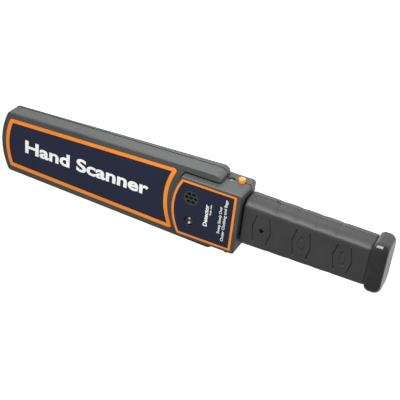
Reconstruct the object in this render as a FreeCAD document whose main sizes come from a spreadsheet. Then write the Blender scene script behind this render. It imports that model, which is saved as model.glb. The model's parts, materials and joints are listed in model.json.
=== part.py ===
import FreeCAD, Part
import math
import os

import Sketcher

# Handheld security metal-detector wand: a flat search paddle, a raised control
# box, a grip that holds the battery, and a sliding end cap.
#
# Working frame: x runs from the paddle's tip to the end cap, y is zero on the
# centre plane with the push button on +y, and z is zero on the parting plane
# between the front and rear mouldings, with the labels facing +z.
# Every piece's Placement moves that frame so that the origin is the middle of
# the footprint and the rear faces lie on z = 0.

DIMENSIONS = {
    # whole wand
    "total_length": 424.4,
    "rear_depth": 14.0,
    "wall": 2.4,
    # air between pieces, and how far joined features run into each other
    "fit_gap": 0.05,
    "running_gap": 0.08,
    "thread_gap": 0.02,
    "screw_air": 0.1,
    "bite": 0.5,
    "split_gap": 0.6,
    "split_depth": 0.9,
    # paddle
    "paddle_tip_radius": 76.0,
    "paddle_tip_half": 35.2,
    "paddle_end": 253.0,
    "paddle_end_half": 43.3,
    "paddle_front": 16.5,
    "paddle_rear": 8.6,
    "paddle_tip_rear": 3.6,
    "tip_corner_radius": 4.0,
    "rim_end_radius": 7.0,
    "rim_round": 2.0,
    # control box
    "box_nose": 205.7,
    "box_nose_radius": 62.9,
    "box_half": 34.1,
    "box_end": 279.0,
    "box_front": 24.6,
    "box_corner_radius": 3.2,
    "box_front_round": 1.4,
    "box_rear_round": 3.0,
    "seam_width": 1.3,
    "seam_depth": 1.6,
    # labels
    "label_sheet": 0.3,
    "label_recess": 0.3,
    "label_corner_radius": 3.6,
    "paddle_label_tip": 6.1,
    "paddle_label_tip_radius": 69.7,
    "paddle_label_tip_half": 28.3,
    "paddle_label_end": 207.9,
    "paddle_label_end_half": 35.0,
    "paddle_label_end_radius": 71.2,
    "control_label_nose": 207.9,
    "control_label_nose_radius": 60.7,
    "control_label_nose_half": 31.3,
    "control_label_end": 274.75,
    "control_label_end_half": 30.9,
    # things on the control panel
    "grille_x": 227.9,
    "grille_y": 13.2,
    "grille_radius": 7.85,
    "grille_hole": 2.05,
    "grille_pitch": 4.9,
    "speaker_radius": 10.0,
    "speaker_wall": 1.4,
    "speaker_well": 5.2,
    "window_x": 228.0,
    "window_y": -13.5,
    "window_radius": 5.5,
    "holder_rim": 1.6,
    "lamp_pitch": 5.4,
    "lamp_radius": 1.5,
    # push button, trimmer and slide switch
    "button_x": 268.6,
    "button_radius": 3.5,
    "button_reach": 4.4,
    "button_travel": 1.2,
    "trimmer_x": 257.7,
    "trimmer_hole_radius": 3.5,
    "trimmer_rotor_radius": 2.9,
    "trimmer_face": 28.4,
    "trimmer_sunk": 2.7,
    "plunger_radius": 1.7,
    "switch_face": 26.0,
    "slider_x": 268.8,
    "slider_width": 3.2,
    "slider_length": 4.0,
    "slider_rest": 17.3,
    "slider_travel": 4.0,
    "slider_reach": 4.0,
    "slide_switch_depth": 6.0,
    # grip and battery tube
    "grip_start": 281.0,
    "grip_end": 408.0,
    "grip_half": 26.2,
    "grip_draft": 1.6,
    "grip_front": 17.9,
    "grip_face_half": 21.1,
    "grip_shoulder": 12.2,
    "grip_rear_half": 18.5,
    "grip_rear_shoulder": 8.0,
    "grip_wall": 2.6,
    "grip_rib": 2.4,
    "grip_seam": 0.25,
    "grip_screw_x": 301.5,
    "grip_boss_radius": 3.4,
    "grip_head_radius": 1.6,
    "grip_head_rest": 0.7,
    "cord_slot_start": 306.5,
    "cord_slot_length": 7.0,
    "cord_slot_width": 1.6,
    "tube_half": 16.5,
    "tube_front": 14.0,
    "tube_rear": 10.0,
    "tube_wall": 2.0,
    "tube_boss_radius": 2.8,
    "tube_boss_depth": 5.0,
    "rail_half": 21.0,
    # end cap
    "cap_start": 408.3,
    "cap_half": 28.0,
    "cap_front": 19.5,
    "cap_side_round": 8.5,
    "cap_end_round": 4.2,
    "cap_lip": 1.65,
    "cap_rail_room": 3.0,
    # boards and coil
    "board_start": 215.0,
    "board_end": 272.4,
    "board_half": 27.0,
    "board_bottom": -5.0,
    "board_sheet": 1.6,
    "coil_end": 196.0,
    "coil_low": 0.6,
    "coil_height": 8.4,
    "coil_inset": 3.6,
    "coil_width": 3.0,
    "former_width": 6.0,
    # battery
    "battery_length": 46.4,
    "battery_width": 26.5,
    "battery_depth": 17.5,
    "battery_start": 360.0,
    # fasteners
    "screw_radius": 1.3,
    "screw_head_radius": 2.5,
    "small_screw_radius": 1.0,
    "small_head_radius": 1.9,
    "screw_sink": 2.0,
    "boss_radius": 3.1,
    "boss_gap": 0.2,
    "post_radius": 2.5,
}

doc = FreeCAD.newDocument("metal_detector_wand")
sheet = doc.addObject("Spreadsheet::Sheet", "Dims")
for row, (alias, number) in enumerate(DIMENSIONS.items(), start=1):
    sheet.set(f"A{row}", alias)
    sheet.set(f"B{row}", str(number))
    sheet.setAlias(f"B{row}", alias)
doc.recompute()


# ---------------------------------------------------------------- sizes

class Size:
    """A length that carries its number and the sheet formula behind it."""

    def __init__(self, number, formula):
        self.number = number
        self.formula = formula

    def __add__(self, other):
        other = as_size(other)
        return Size(self.number + other.number, f"({self.formula} + {other.formula})")

    def __sub__(self, other):
        other = as_size(other)
        return Size(self.number - other.number, f"({self.formula} - {other.formula})")

    def __mul__(self, other):
        other = as_size(other)
        return Size(self.number * other.number, f"({self.formula} * {other.formula})")

    def __truediv__(self, other):
        other = as_size(other)
        return Size(self.number / other.number, f"({self.formula} / {other.formula})")

    def __radd__(self, other):
        return as_size(other) + self

    def __rsub__(self, other):
        return as_size(other) - self

    def __rmul__(self, other):
        return as_size(other) * self

    def __neg__(self):
        return Size(-self.number, f"(0 - {self.formula})")

    def root(self):
        return Size(math.sqrt(self.number), f"sqrt({self.formula})")


def as_size(item):
    if isinstance(item, Size):
        return item
    if item < 0:
        return Size(float(item), f"(0 - {abs(item)})")
    return Size(float(item), str(item))


class SheetSizes:
    """Each alias of the sheet as an attribute that holds its Size."""

    def __init__(self, dimensions):
        for alias, number in dimensions.items():
            setattr(self, alias, Size(number, f"Dims.{alias}"))


D = SheetSizes(DIMENSIONS)


def bind(item, property_name, size):
    item.setExpression(property_name, as_size(size).formula)


# ---------------------------------------------------------------- sketches

def place(piece):
    """Give a piece the Placement that puts it in the row frame."""
    bind(piece, "Placement.Base.x", -D.total_length / 2)
    bind(piece, "Placement.Base.z", D.rear_depth)


def new_body(label):
    body = doc.addObject("PartDesign::Body", label)
    body.Label = label
    place(body)
    return body


def new_sketch(body, plane, offset=0):
    """A sketch on the body's own plane, moved by offset along the plane's normal."""
    origin_plane = [item for item in body.Origin.OriginFeatures if item.Role == plane + "_Plane"][0]
    sketch = body.newObject("Sketcher::SketchObject", body.Label + "_sketch")
    sketch.AttachmentSupport = (origin_plane, [""])
    sketch.MapMode = "FlatFace"
    bind(sketch, "AttachmentOffset.Base.z", offset)
    return sketch


def fix(sketch, kind, geometry, point, size):
    """Add one driving constraint and bind it to its formula."""
    size = as_size(size)
    if point is None:
        index = sketch.addConstraint(Sketcher.Constraint(kind, geometry, size.number))
    else:
        index = sketch.addConstraint(Sketcher.Constraint(kind, geometry, point, size.number))
    sketch.setExpression(f"Constraints[{index}]", size.formula)


def arc_between(start, end, radius, outward):
    """The arc from start to end of a counter-clockwise loop, bulging out or in."""
    chord = end - start
    middle = (start + end) * 0.5
    left = FreeCAD.Vector(-chord.y, chord.x, 0).normalize()
    drop = math.sqrt(radius ** 2 - (chord.Length / 2) ** 2)
    centre = middle + left * (drop if outward else -drop)
    first, last = (start, end) if outward else (end, start)
    angles = [math.atan2(spot.y - centre.y, spot.x - centre.x) for spot in (first, last)]
    circle = Part.Circle(centre, FreeCAD.Vector(0, 0, 1), radius)
    return Part.ArcOfCircle(circle, angles[0], angles[1])


def add_loop(sketch, corners, arcs=None):
    """A closed counter-clockwise loop.

    corners holds (across, up) sizes. arcs maps an edge's number to
    (radius, outward), and every other edge is straight.
    """
    arcs = arcs or {}
    first = sketch.GeometryCount
    spots = [FreeCAD.Vector(as_size(u).number, as_size(v).number, 0) for u, v in corners]
    count = len(spots)
    ends = []
    for edge in range(count):
        start, end = spots[edge], spots[(edge + 1) % count]
        if edge in arcs:
            radius, outward = arcs[edge]
            sketch.addGeometry(arc_between(start, end, radius.number, outward), False)
            ends.append((1, 2) if outward else (2, 1))
        else:
            sketch.addGeometry(Part.LineSegment(start, end), False)
            ends.append((1, 2))
    for edge in range(count):
        after = (edge + 1) % count
        joint = Sketcher.Constraint(
            "Coincident", first + edge, ends[edge][1], first + after, ends[after][0])
        sketch.addConstraint(joint)
    for edge, (across, up) in enumerate(corners):
        fix(sketch, "DistanceX", first + edge, ends[edge][0], across)
        fix(sketch, "DistanceY", first + edge, ends[edge][0], up)
    for edge, (radius, outward) in arcs.items():
        fix(sketch, "Radius", first + edge, None, radius)


def add_rectangle(sketch, left, right, low, high):
    add_loop(sketch, [(left, low), (right, low), (right, high), (left, high)])


def add_circle(sketch, across, up, radius):
    centre = FreeCAD.Vector(as_size(across).number, as_size(up).number, 0)
    circle = Part.Circle(centre, FreeCAD.Vector(0, 0, 1), as_size(radius).number)
    index = sketch.addGeometry(circle, False)
    fix(sketch, "DistanceX", index, 3, across)
    fix(sketch, "DistanceY", index, 3, up)
    fix(sketch, "Radius", index, None, radius)


class Plate:
    """Outline of a flat piece: an arc at the tip, two straight sides and an end.

    The end is straight and may have rounded corners, or it is an arc that
    bulges towards the tip.
    """

    def __init__(self, tip, tip_radius, tip_half, end, end_half,
                 tip_round=None, end_round=None, end_radius=None):
        self.tip = tip
        self.tip_radius = tip_radius
        self.tip_half = tip_half
        self.end = end
        self.end_half = end_half
        self.tip_round = tip_round
        self.end_round = end_round
        self.end_radius = end_radius

    def inset(self, gap):
        """The same outline moved inwards, with its rounds made smaller by as much."""
        rounds = []
        for radius in (self.tip_round, self.end_round):
            keeps = radius is not None and radius.number > as_size(gap).number + 0.2
            rounds.append(radius - gap if keeps else None)
        return Plate(self.tip + gap, self.tip_radius - gap, self.tip_half - gap,
                     self.end - gap, self.end_half - gap, rounds[0], rounds[1], self.end_radius)

    def arc_x(self, half):
        """The x of the tip's arc at a distance half from the centre plane."""
        return self.tip + self.tip_radius - (self.tip_radius * self.tip_radius - half * half).root()

    def corners(self):
        """The outline's +y corners before rounding, tip first."""
        return [(self.arc_x(self.tip_half), self.tip_half), (self.end, self.end_half)]

    def side_direction(self):
        """Cosine and sine of the side's angle to the centre plane."""
        (x0, y0), (x1, y1) = self.corners()
        length = ((x1 - x0) * (x1 - x0) + (y1 - y0) * (y1 - y0)).root()
        return (x1 - x0) / length, (y1 - y0) / length

    def draw(self, sketch):
        (x0, y0), (x1, y1) = self.corners()
        along, rise = self.side_direction()
        upper = []
        arcs = {}
        if self.tip_round is not None:
            arc_cos = (self.tip + self.tip_radius - x0) / self.tip_radius
            bend = -(y0 / self.tip_radius * along) - arc_cos * rise
            trim = tangent_length(self.tip_round, bend)
            on_arc = y0 - trim * arc_cos
            upper += [(self.arc_x(on_arc), on_arc), (x0 + trim * along, y0 + trim * rise)]
        else:
            upper.append((x0, y0))
        if self.end_round is not None:
            trim = tangent_length(self.end_round, rise)
            upper += [(x1 - trim * along, y1 - trim * rise), (x1, y1 - trim)]
        else:
            upper.append((x1, y1))
        lower = [(x, -y) for x, y in upper]
        corners = lower + upper[::-1]
        last = len(corners) - 1
        arcs[last] = (self.tip_radius, True)
        if self.tip_round is not None:
            arcs[0] = (self.tip_round, True)
            arcs[last - 1] = (self.tip_round, True)
        middle = len(lower) - 1
        if self.end_round is not None:
            arcs[middle - 1] = (self.end_round, True)
            arcs[middle + 1] = (self.end_round, True)
        if self.end_radius is not None:
            arcs[middle] = (self.end_radius, False)
        add_loop(sketch, corners, arcs)


def tangent_length(radius, bend):
    """How far from a corner a round touches its sides, from the cosine of their angle."""
    return radius * ((1 + bend) / (1 - bend)).root()


def half_width_at(x):
    """The paddle's half width at a place between its tip corner and its end."""
    corner = PADDLE.arc_x(D.paddle_tip_half)
    slope = (D.paddle_end_half - D.paddle_tip_half) / (D.paddle_end - corner)
    return D.paddle_tip_half + slope * (x - corner)


PADDLE = Plate(as_size(0), D.paddle_tip_radius, D.paddle_tip_half, D.paddle_end,
               D.paddle_end_half, D.tip_corner_radius, D.rim_end_radius)
BOX = Plate(D.box_nose, D.box_nose_radius, D.box_half, D.box_end, D.box_half,
            end_round=D.box_corner_radius)
PADDLE_LABEL = Plate(D.paddle_label_tip, D.paddle_label_tip_radius, D.paddle_label_tip_half,
                     D.paddle_label_end, D.paddle_label_end_half,
                     end_radius=D.paddle_label_end_radius)
CONTROL_LABEL = Plate(D.control_label_nose, D.control_label_nose_radius,
                      D.control_label_nose_half, D.control_label_end, D.control_label_end_half)
COIL = Plate(as_size(0), D.paddle_tip_radius, D.paddle_tip_half,
             D.coil_end, half_width_at(D.coil_end))


# ---------------------------------------------------------------- features

def pad(sketch, length):
    body = sketch.getParentGeoFeatureGroup()
    feature = body.newObject("PartDesign::Pad", body.Label + "_pad")
    feature.Profile = sketch
    bind(feature, "Length", length)
    sketch.Visibility = False
    return feature


def pocket(sketch, depth):
    """Cut along the sketch plane's normal, and stop if nothing was cut."""
    body = sketch.getParentGeoFeatureGroup()
    doc.recompute()
    before = body.Tip.Shape.Volume
    feature = body.newObject("PartDesign::Pocket", body.Label + "_pocket")
    feature.Profile = sketch
    feature.Reversed = True
    bind(feature, "Length", depth)
    sketch.Visibility = False
    doc.recompute()
    if feature.Shape.Volume > before - 1e-4:
        raise RuntimeError(f"{feature.Name} in {body.Label} cut nothing")
    return feature


def edges_where(shape, test):
    return [f"Edge{number}" for number, edge in enumerate(shape.Edges, start=1) if test(edge)]


def upright_at(spots, low, high):
    """A test for vertical edges from low to high that stand on one of the spots."""
    def test(edge):
        box = edge.BoundBox
        upright = box.XLength < 1e-4 and box.YLength < 1e-4
        spans = abs(box.ZMin - low) < 1e-3 and abs(box.ZMax - high) < 1e-3
        return upright and spans and any(
            math.hypot(box.XMin - x, box.YMin - y) < 1e-2 for x, y in spots)
    return test


def at_height(z):
    """A test for the edges that lie in one horizontal plane."""
    def test(edge):
        return abs(edge.BoundBox.ZMin - z) < 1e-3 and abs(edge.BoundBox.ZMax - z) < 1e-3
    return test


def dress(body, kind, test, size):
    """Fillet or chamfer every edge of the body's tip that passes the test."""
    doc.recompute()
    base = body.Tip
    names = edges_where(base.Shape, test)
    if not names:
        raise RuntimeError(f"no edge to {kind} in {body.Label}")
    feature = body.newObject("PartDesign::" + kind, body.Label + "_" + kind.lower())
    feature.Base = (base, names)
    bind(feature, "Radius" if kind == "Fillet" else "Size", size)
    base.Visibility = False
    doc.recompute()
    if "Invalid" in feature.State:
        raise RuntimeError(f"{feature.Name} failed")
    return feature


def prism(body, low, high, draw):
    """Pad a loop from one height to another."""
    sketch = new_sketch(body, "XY", low)
    draw(sketch)
    return pad(sketch, as_size(high) - low)


def sink(body, low, high, draw):
    """Pocket a loop from one height to another."""
    sketch = new_sketch(body, "XY", low)
    draw(sketch)
    return pocket(sketch, as_size(high) - low)


def block(body, left, right, near, far, low, high):
    return prism(body, low, high, lambda sketch: add_rectangle(sketch, left, right, near, far))


def sink_block(body, left, right, near, far, low, high):
    return sink(body, low, high, lambda sketch: add_rectangle(sketch, left, right, near, far))


def disc(body, x, y, radius, low, high):
    return prism(body, low, high, lambda sketch: add_circle(sketch, x, y, radius))


def sink_disc(body, x, y, radius, low, high):
    return sink(body, low, high, lambda sketch: add_circle(sketch, x, y, radius))


def side_disc(body, x, z, radius, near, far):
    """A cylinder along y from near to far."""
    sketch = new_sketch(body, "XZ", -as_size(far))
    add_circle(sketch, x, z, radius)
    return pad(sketch, as_size(far) - near)


def side_sink_disc(body, x, z, radius, near, far):
    """A round hole along y from near to far."""
    sketch = new_sketch(body, "XZ", -as_size(far))
    add_circle(sketch, x, z, radius)
    return pocket(sketch, as_size(far) - near)


def side_sink(body, near, far, corners, arcs=None):
    """Pocket a loop of (x, z) corners along y from near to far."""
    sketch = new_sketch(body, "XZ", -as_size(far))
    add_loop(sketch, corners, arcs)
    return pocket(sketch, as_size(far) - near)


def end_block(body, start, end, corners):
    """Pad a loop of (y, z) corners along x."""
    sketch = new_sketch(body, "YZ", start)
    add_loop(sketch, corners)
    return pad(sketch, as_size(end) - start)


def end_sink(body, start, end, corners):
    sketch = new_sketch(body, "YZ", start)
    add_loop(sketch, corners)
    return pocket(sketch, as_size(end) - start)


def box_corners(half, low, high):
    return [(-as_size(half), low), (half, low), (half, high), (-as_size(half), high)]


def spots_of(plate):
    """The four outline corners as plain numbers."""
    return [(x.number, y.number * side) for x, y in plate.corners() for side in (1, -1)]


# ---------------------------------------------------------------- housings

RIM_SCREWS = [(30, 12), (130, 14), (238, 37.2)]
BOARD_SCREWS = [(217, 20), (264, 14)]
COIL_POSTS = (60, 100, 160)


def both_sides(spots):
    return [(as_size(x), as_size(y) * side) for x, y in spots for side in (1, -1)]


def cut_side_holes(body):
    """The button and trimmer holes in the +y wall, centred on the parting plane."""
    inside = D.box_half - D.wall - D.bite
    outside = D.box_half + D.bite
    side_sink_disc(body, D.button_x, 0, D.button_radius + D.running_gap, inside, outside)
    side_sink_disc(body, D.trimmer_x, 0, D.trimmer_hole_radius, inside, outside)


def cut_slider_slot(body):
    """The slot in the -y wall that the power slider moves along."""
    half = D.slider_width / 2 + D.running_gap
    top = D.slider_rest + D.slider_length / 2 + D.running_gap
    bottom = D.slider_rest - D.slider_travel - D.slider_length / 2 - D.running_gap
    sink_block(body, D.slider_x - half, D.slider_x + half,
               -D.box_half - D.bite, -D.box_half + D.wall + D.bite, bottom, top)


def cut_tube_opening(body, low, high):
    """The opening in the box's end wall that the battery tube passes through."""
    end_sink(body, D.box_end - D.wall - D.bite, D.box_end + D.bite,
             box_corners(D.tube_half + D.fit_gap, low, high))


def make_front_housing():
    body = new_body("front_housing")
    prism(body, 0, D.split_gap, PADDLE.inset(D.split_depth).draw)
    prism(body, 0, D.split_gap, BOX.inset(D.split_depth).draw)
    prism(body, D.split_gap, D.paddle_front, PADDLE.draw)
    dress(body, "Fillet", at_height(D.paddle_front.number), D.rim_round)
    prism(body, D.split_gap, D.box_front, BOX.draw)
    dress(body, "Fillet", at_height(D.box_front.number), D.box_front_round)

    def seam(sketch):
        BOX.inset(-D.seam_width).draw(sketch)
        BOX.draw(sketch)
    sink(body, D.paddle_front - D.seam_depth, D.paddle_front, seam)
    low_roof = D.paddle_front - D.wall
    roof = D.box_front - D.wall
    sink(body, as_size(0), low_roof, PADDLE.inset(D.wall).draw)
    sink(body, as_size(0), roof, BOX.inset(D.wall).draw)
    sink(body, D.paddle_front - D.label_recess, D.paddle_front, PADDLE_LABEL.draw)
    sink(body, D.box_front - D.label_recess, D.box_front, CONTROL_LABEL.draw)

    well = roof - D.speaker_well
    disc(body, D.grille_x, D.grille_y, D.speaker_radius + D.speaker_wall, well, roof + D.bite)
    sink_disc(body, D.grille_x, D.grille_y, D.speaker_radius + D.screw_air, well, roof)
    sink_disc(body, D.grille_x, D.grille_y, D.grille_radius + D.screw_air, roof, D.box_front)
    sink_disc(body, D.window_x, D.window_y, D.window_radius, roof, D.box_front)

    for x, y in both_sides(RIM_SCREWS):
        disc(body, x, y, D.boss_radius, D.boss_gap, low_roof + D.bite)
        sink_disc(body, x, y, D.screw_radius + D.thread_gap, D.boss_gap, low_roof - 1)
    cut_side_holes(body)
    cut_slider_slot(body)
    cut_tube_opening(body, -1, D.tube_front + D.fit_gap)


def rear_at(x):
    """How deep the paddle's sloping rear face lies under the parting plane."""
    slope = (D.paddle_rear - D.paddle_tip_rear) / D.paddle_end
    return D.paddle_tip_rear + slope * x


def on_slope(edge):
    """A test for the edges that lie in the paddle's sloping rear face."""
    spots = [vertex.Point for vertex in edge.Vertexes] + [edge.CenterOfMass]
    return all(abs(spot.z + rear_at(as_size(spot.x)).number) < 1e-2 for spot in spots)


def slope_the_paddle(body):
    """Cut the paddle's rear face to its slope."""
    reach = D.paddle_end_half + 1
    start, finish = as_size(-1), D.paddle_end + 1
    level = -D.paddle_rear - 1
    side_sink(body, -reach, reach,
              [(start, level), (finish, level), (finish, -rear_at(finish)), (start, -rear_at(start))])


def hollow_the_paddle(body):
    """A shallow hollow under the whole paddle and a deeper one that follows the slope."""
    sink(body, -D.paddle_tip_rear + D.wall, as_size(0), PADDLE.inset(D.wall).draw)
    reach = D.paddle_tip_half - D.wall - 1
    start, finish = D.wall + D.tip_corner_radius + 2, D.box_nose + D.box_corner_radius + D.wall
    side_sink(body, -reach, reach,
              [(start, -rear_at(start) + D.wall), (finish, -rear_at(finish) + D.wall),
               (finish, 0), (start, 0)])


def make_rear_housing():
    body = new_body("rear_housing")
    prism(body, -D.split_gap, 0, PADDLE.inset(D.split_depth).draw)
    prism(body, -D.split_gap, 0, BOX.inset(D.split_depth).draw)
    prism(body, -D.paddle_rear, -D.split_gap, PADDLE.draw)
    slope_the_paddle(body)
    dress(body, "Fillet", on_slope, D.rim_round)
    prism(body, -D.rear_depth, -D.split_gap, BOX.draw)
    dress(body, "Fillet", at_height(-D.rear_depth.number), D.box_rear_round)
    hollow_the_paddle(body)
    sink(body, -D.rear_depth + D.wall, as_size(0), BOX.inset(D.wall).draw)

    for x, y in both_sides(RIM_SCREWS):
        disc(body, x, y, D.boss_radius, -rear_at(x) + D.wall - 1, -D.boss_gap / 2)
    for x, y in both_sides(RIM_SCREWS):
        rear = rear_at(x)
        sink_disc(body, x, y, D.screw_radius + D.screw_air * 2, -rear - D.bite, -D.boss_gap / 2)
        sink_disc(body, x, y, D.screw_head_radius + D.screw_air * 2, -rear - D.bite,
                  -rear + D.screw_sink)

    floor = -D.rear_depth + D.wall
    for x, y in both_sides(BOARD_SCREWS):
        disc(body, x, y, D.post_radius, floor - D.bite, D.board_bottom)
        sink_disc(body, x, y, D.small_screw_radius + D.thread_gap, floor, D.board_bottom)
    for x in COIL_POSTS:
        middle = half_width_at(as_size(x)) - D.coil_inset - D.coil_width - D.former_width / 2
        for sign in (1, -1):
            disc(body, x, middle * sign, D.post_radius, -rear_at(x) + D.wall - 1, D.coil_low)

    cut_side_holes(body)
    cut_tube_opening(body, -D.tube_rear - D.fit_gap, 1)


# ---------------------------------------------------------------- labels

def make_paddle_label():
    body = new_body("paddle_label")
    low = D.paddle_front - D.label_recess
    prism(body, low, low + D.label_sheet, PADDLE_LABEL.draw)
    span = (low.number, (low + D.label_sheet).number)
    dress(body, "Fillet", upright_at(spots_of(PADDLE_LABEL), *span), D.label_corner_radius)


def make_control_label():
    body = new_body("control_label")
    low = D.box_front - D.label_recess

    def sheet_with_holes(sketch):
        CONTROL_LABEL.draw(sketch)
        add_circle(sketch, D.grille_x, D.grille_y, D.grille_radius + D.screw_air)
        add_circle(sketch, D.window_x, D.window_y, D.window_radius)
    prism(body, low, low + D.label_sheet, sheet_with_holes)


# ---------------------------------------------------------------- search coil

def ring(body, low, high, outer, inner):
    """A closed band that follows the coil's outline between two insets."""
    def draw(sketch):
        COIL.inset(outer).draw(sketch)
        COIL.inset(inner).draw(sketch)
    prism(body, low, high, draw)


def make_coil():
    """The winding lies round the outside of its former, a little below its two edges."""
    edge = 0.8
    top = D.coil_low + D.coil_height
    inner = D.coil_inset + D.coil_width
    former = new_body("coil_former")
    ring(former, D.coil_low, top, inner + D.fit_gap, inner + D.fit_gap + D.former_width)
    winding = new_body("search_coil")
    ring(winding, D.coil_low + edge, top - edge, D.coil_inset, inner)


# ---------------------------------------------------------------- electronics

CHIPS = [(236, 4, 10, 6.2), (252, 4, 5, 4), (246, -6, 5, 4)]
CHIP_HEIGHT = 1.7
CAPACITORS = [(222, 2, 2.5, 7), (229, 1, 2.5, 7), (262, 2, 3.1, 8), (258, -6, 2, 5)]
GRILLE_HOLES_ROUND = 6


def board_top():
    return D.board_bottom + D.board_sheet


def make_main_board():
    body = new_body("main_board")
    block(body, D.board_start, D.board_end, -D.board_half, D.board_half, D.board_bottom, board_top())
    for x, y in both_sides(BOARD_SCREWS):
        sink_disc(body, x, y, D.small_screw_radius + D.screw_air, D.board_bottom, board_top())


def make_board_parts():
    """Chips as (x, y, length, width) and capacitors as (x, y, radius, height)."""
    chips = new_body("board_chips")
    for x, y, length, width in CHIPS:
        block(chips, x, x + length, y, y + width, board_top(), board_top() + CHIP_HEIGHT)
    cans = new_body("board_capacitors")
    for x, y, radius, tall in CAPACITORS:
        disc(cans, x, y, radius, board_top(), board_top() + tall)


def make_speaker():
    """From the roof down: a gasket ring, the frame's basket with the cone in it, the magnet."""
    roof = D.box_front - D.wall
    ring_width = 1.6
    basket_top = roof - 0.6
    basket_low = basket_top - 2.2
    magnet_low = basket_low - 2.6
    gasket = new_body("speaker_gasket")
    prism(gasket, basket_top, roof, lambda sketch: (
        add_circle(sketch, D.grille_x, D.grille_y, D.speaker_radius),
        add_circle(sketch, D.grille_x, D.grille_y, D.speaker_radius - ring_width)))

    frame = new_body("speaker_frame")
    disc(frame, D.grille_x, D.grille_y, D.speaker_radius, basket_low, basket_top)
    disc(frame, D.grille_x, D.grille_y, D.speaker_radius * 0.6, magnet_low, basket_low)
    sink_disc(frame, D.grille_x, D.grille_y, D.speaker_radius - D.speaker_wall,
              basket_top - ring_width, basket_top)
    make_speaker_cone(basket_top - ring_width + 0.1, D.speaker_radius - D.speaker_wall - 0.1)

    grille = new_body("speaker_grille")
    top = D.box_front + 0.2
    disc(grille, D.grille_x, D.grille_y, D.grille_radius, roof, top)
    sink_disc(grille, D.grille_x, D.grille_y, D.grille_hole, roof, top)
    for step in range(GRILLE_HOLES_ROUND):
        turn = 2 * math.pi * step / GRILLE_HOLES_ROUND
        hole_x = D.grille_x + D.grille_pitch * math.cos(turn)
        hole_y = D.grille_y + D.grille_pitch * math.sin(turn)
        sink_disc(grille, hole_x, hole_y, D.grille_hole, roof, top)


def make_speaker_cone(foot, radius):
    """A thin paper cone turned about the speaker's axis, flat in the middle."""
    paper = 0.3
    flat = 3.0
    rise = 1.0
    cone = new_body("speaker_cone")
    sketch = new_sketch(cone, "XZ", -D.grille_y)
    rim = D.grille_x + radius
    add_loop(sketch, [(D.grille_x, foot), (D.grille_x + flat, foot), (rim, foot + rise),
                      (rim, foot + rise + paper), (D.grille_x + flat, foot + paper),
                      (D.grille_x, foot + paper)])
    spin = cone.newObject("PartDesign::Revolution", "speaker_cone_turn")
    spin.Profile = sketch
    axis = sketch.addGeometry(Part.LineSegment(
        FreeCAD.Vector(D.grille_x.number, 0, 0), FreeCAD.Vector(D.grille_x.number, 30, 0)), True)
    sketch.addConstraint(Sketcher.Constraint("Vertical", axis))
    fix(sketch, "DistanceX", axis, 1, D.grille_x)
    spin.ReferenceAxis = (sketch, ["Axis0"])
    spin.Angle = 360
    sketch.Visibility = False


def make_lamps():
    """Two lamps with flanges behind their holder, and two leads each down to the board."""
    roof = D.box_front - D.wall
    holder_sheet = 1.3
    flange = 1.0
    lead_half_pitch = 1.27
    lead_radius = 0.25
    top = D.box_front - 0.2
    foot = roof - holder_sheet - flange - 0.1
    holder = new_body("lamp_holder")
    disc(holder, D.window_x, D.window_y, D.window_radius + D.holder_rim, roof - holder_sheet, roof)
    for name, side in (("red_lamp", 1), ("green_lamp", -1)):
        y = D.window_y + D.lamp_pitch / 2 * side
        sink_disc(holder, D.window_x, y, D.lamp_radius + D.fit_gap, roof - holder_sheet, roof)
        lamp = new_body(name)
        disc(lamp, D.window_x, y, D.lamp_radius + 0.4, foot, foot + flange)
        disc(lamp, D.window_x, y, D.lamp_radius, foot + flange, top)
        dress(lamp, "Fillet", at_height(top.number), D.lamp_radius - 0.1)
        for lead in (-lead_half_pitch, lead_half_pitch):
            disc(lamp, D.window_x + lead, y, lead_radius, board_top(), foot)


# ---------------------------------------------------------------- button, trimmer, slider

def make_push_button():
    """The button, its return spring, and the switch whose plunger it pushes."""
    outer = D.box_half + D.button_reach
    flange_face = D.box_half - D.wall - 0.1
    flange_back = flange_face - 1.5
    button = new_body("push_button")
    side_disc(button, D.button_x, 0, D.button_radius, flange_face - 0.1, outer)
    side_disc(button, D.button_x, 0, D.button_radius + 1.0, flange_back, flange_face)

    switch_half, switch_depth, switch_top = 3.0, 3.6, 3.2
    switch = new_body("button_switch")
    sketch = new_sketch(switch, "XZ", -D.switch_face)
    add_rectangle(sketch, D.button_x - switch_half, D.button_x + switch_half,
                  board_top(), switch_top)
    pad(sketch, switch_depth)
    side_sink_disc(switch, D.button_x, 0, D.plunger_radius + D.running_gap,
                   D.switch_face - D.button_travel - 1, D.switch_face)

    plunger = new_body("switch_plunger")
    side_disc(plunger, D.button_x, 0, D.plunger_radius, D.switch_face - 0.8, flange_back)

    add_wires("button_spring", [coil_spring((flange_back - D.switch_face).number)])


def coil_spring(space):
    """A round-wire spring about the button's axis that fills the space behind its flange."""
    wire_radius = 0.2
    coil_radius = 2.5
    turns = 3
    steps = 12
    rise = space - 2 * (wire_radius + D.fit_gap.number)
    start = D.switch_face.number + wire_radius + D.fit_gap.number
    points = []
    for step in range(turns * steps + 1):
        turn = 2 * math.pi * step / steps
        points.append((D.button_x.number + coil_radius * math.cos(turn),
                       start + rise * step / (turns * steps),
                       coil_radius * math.sin(turn)))
    return cable(points, wire_radius)


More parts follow.
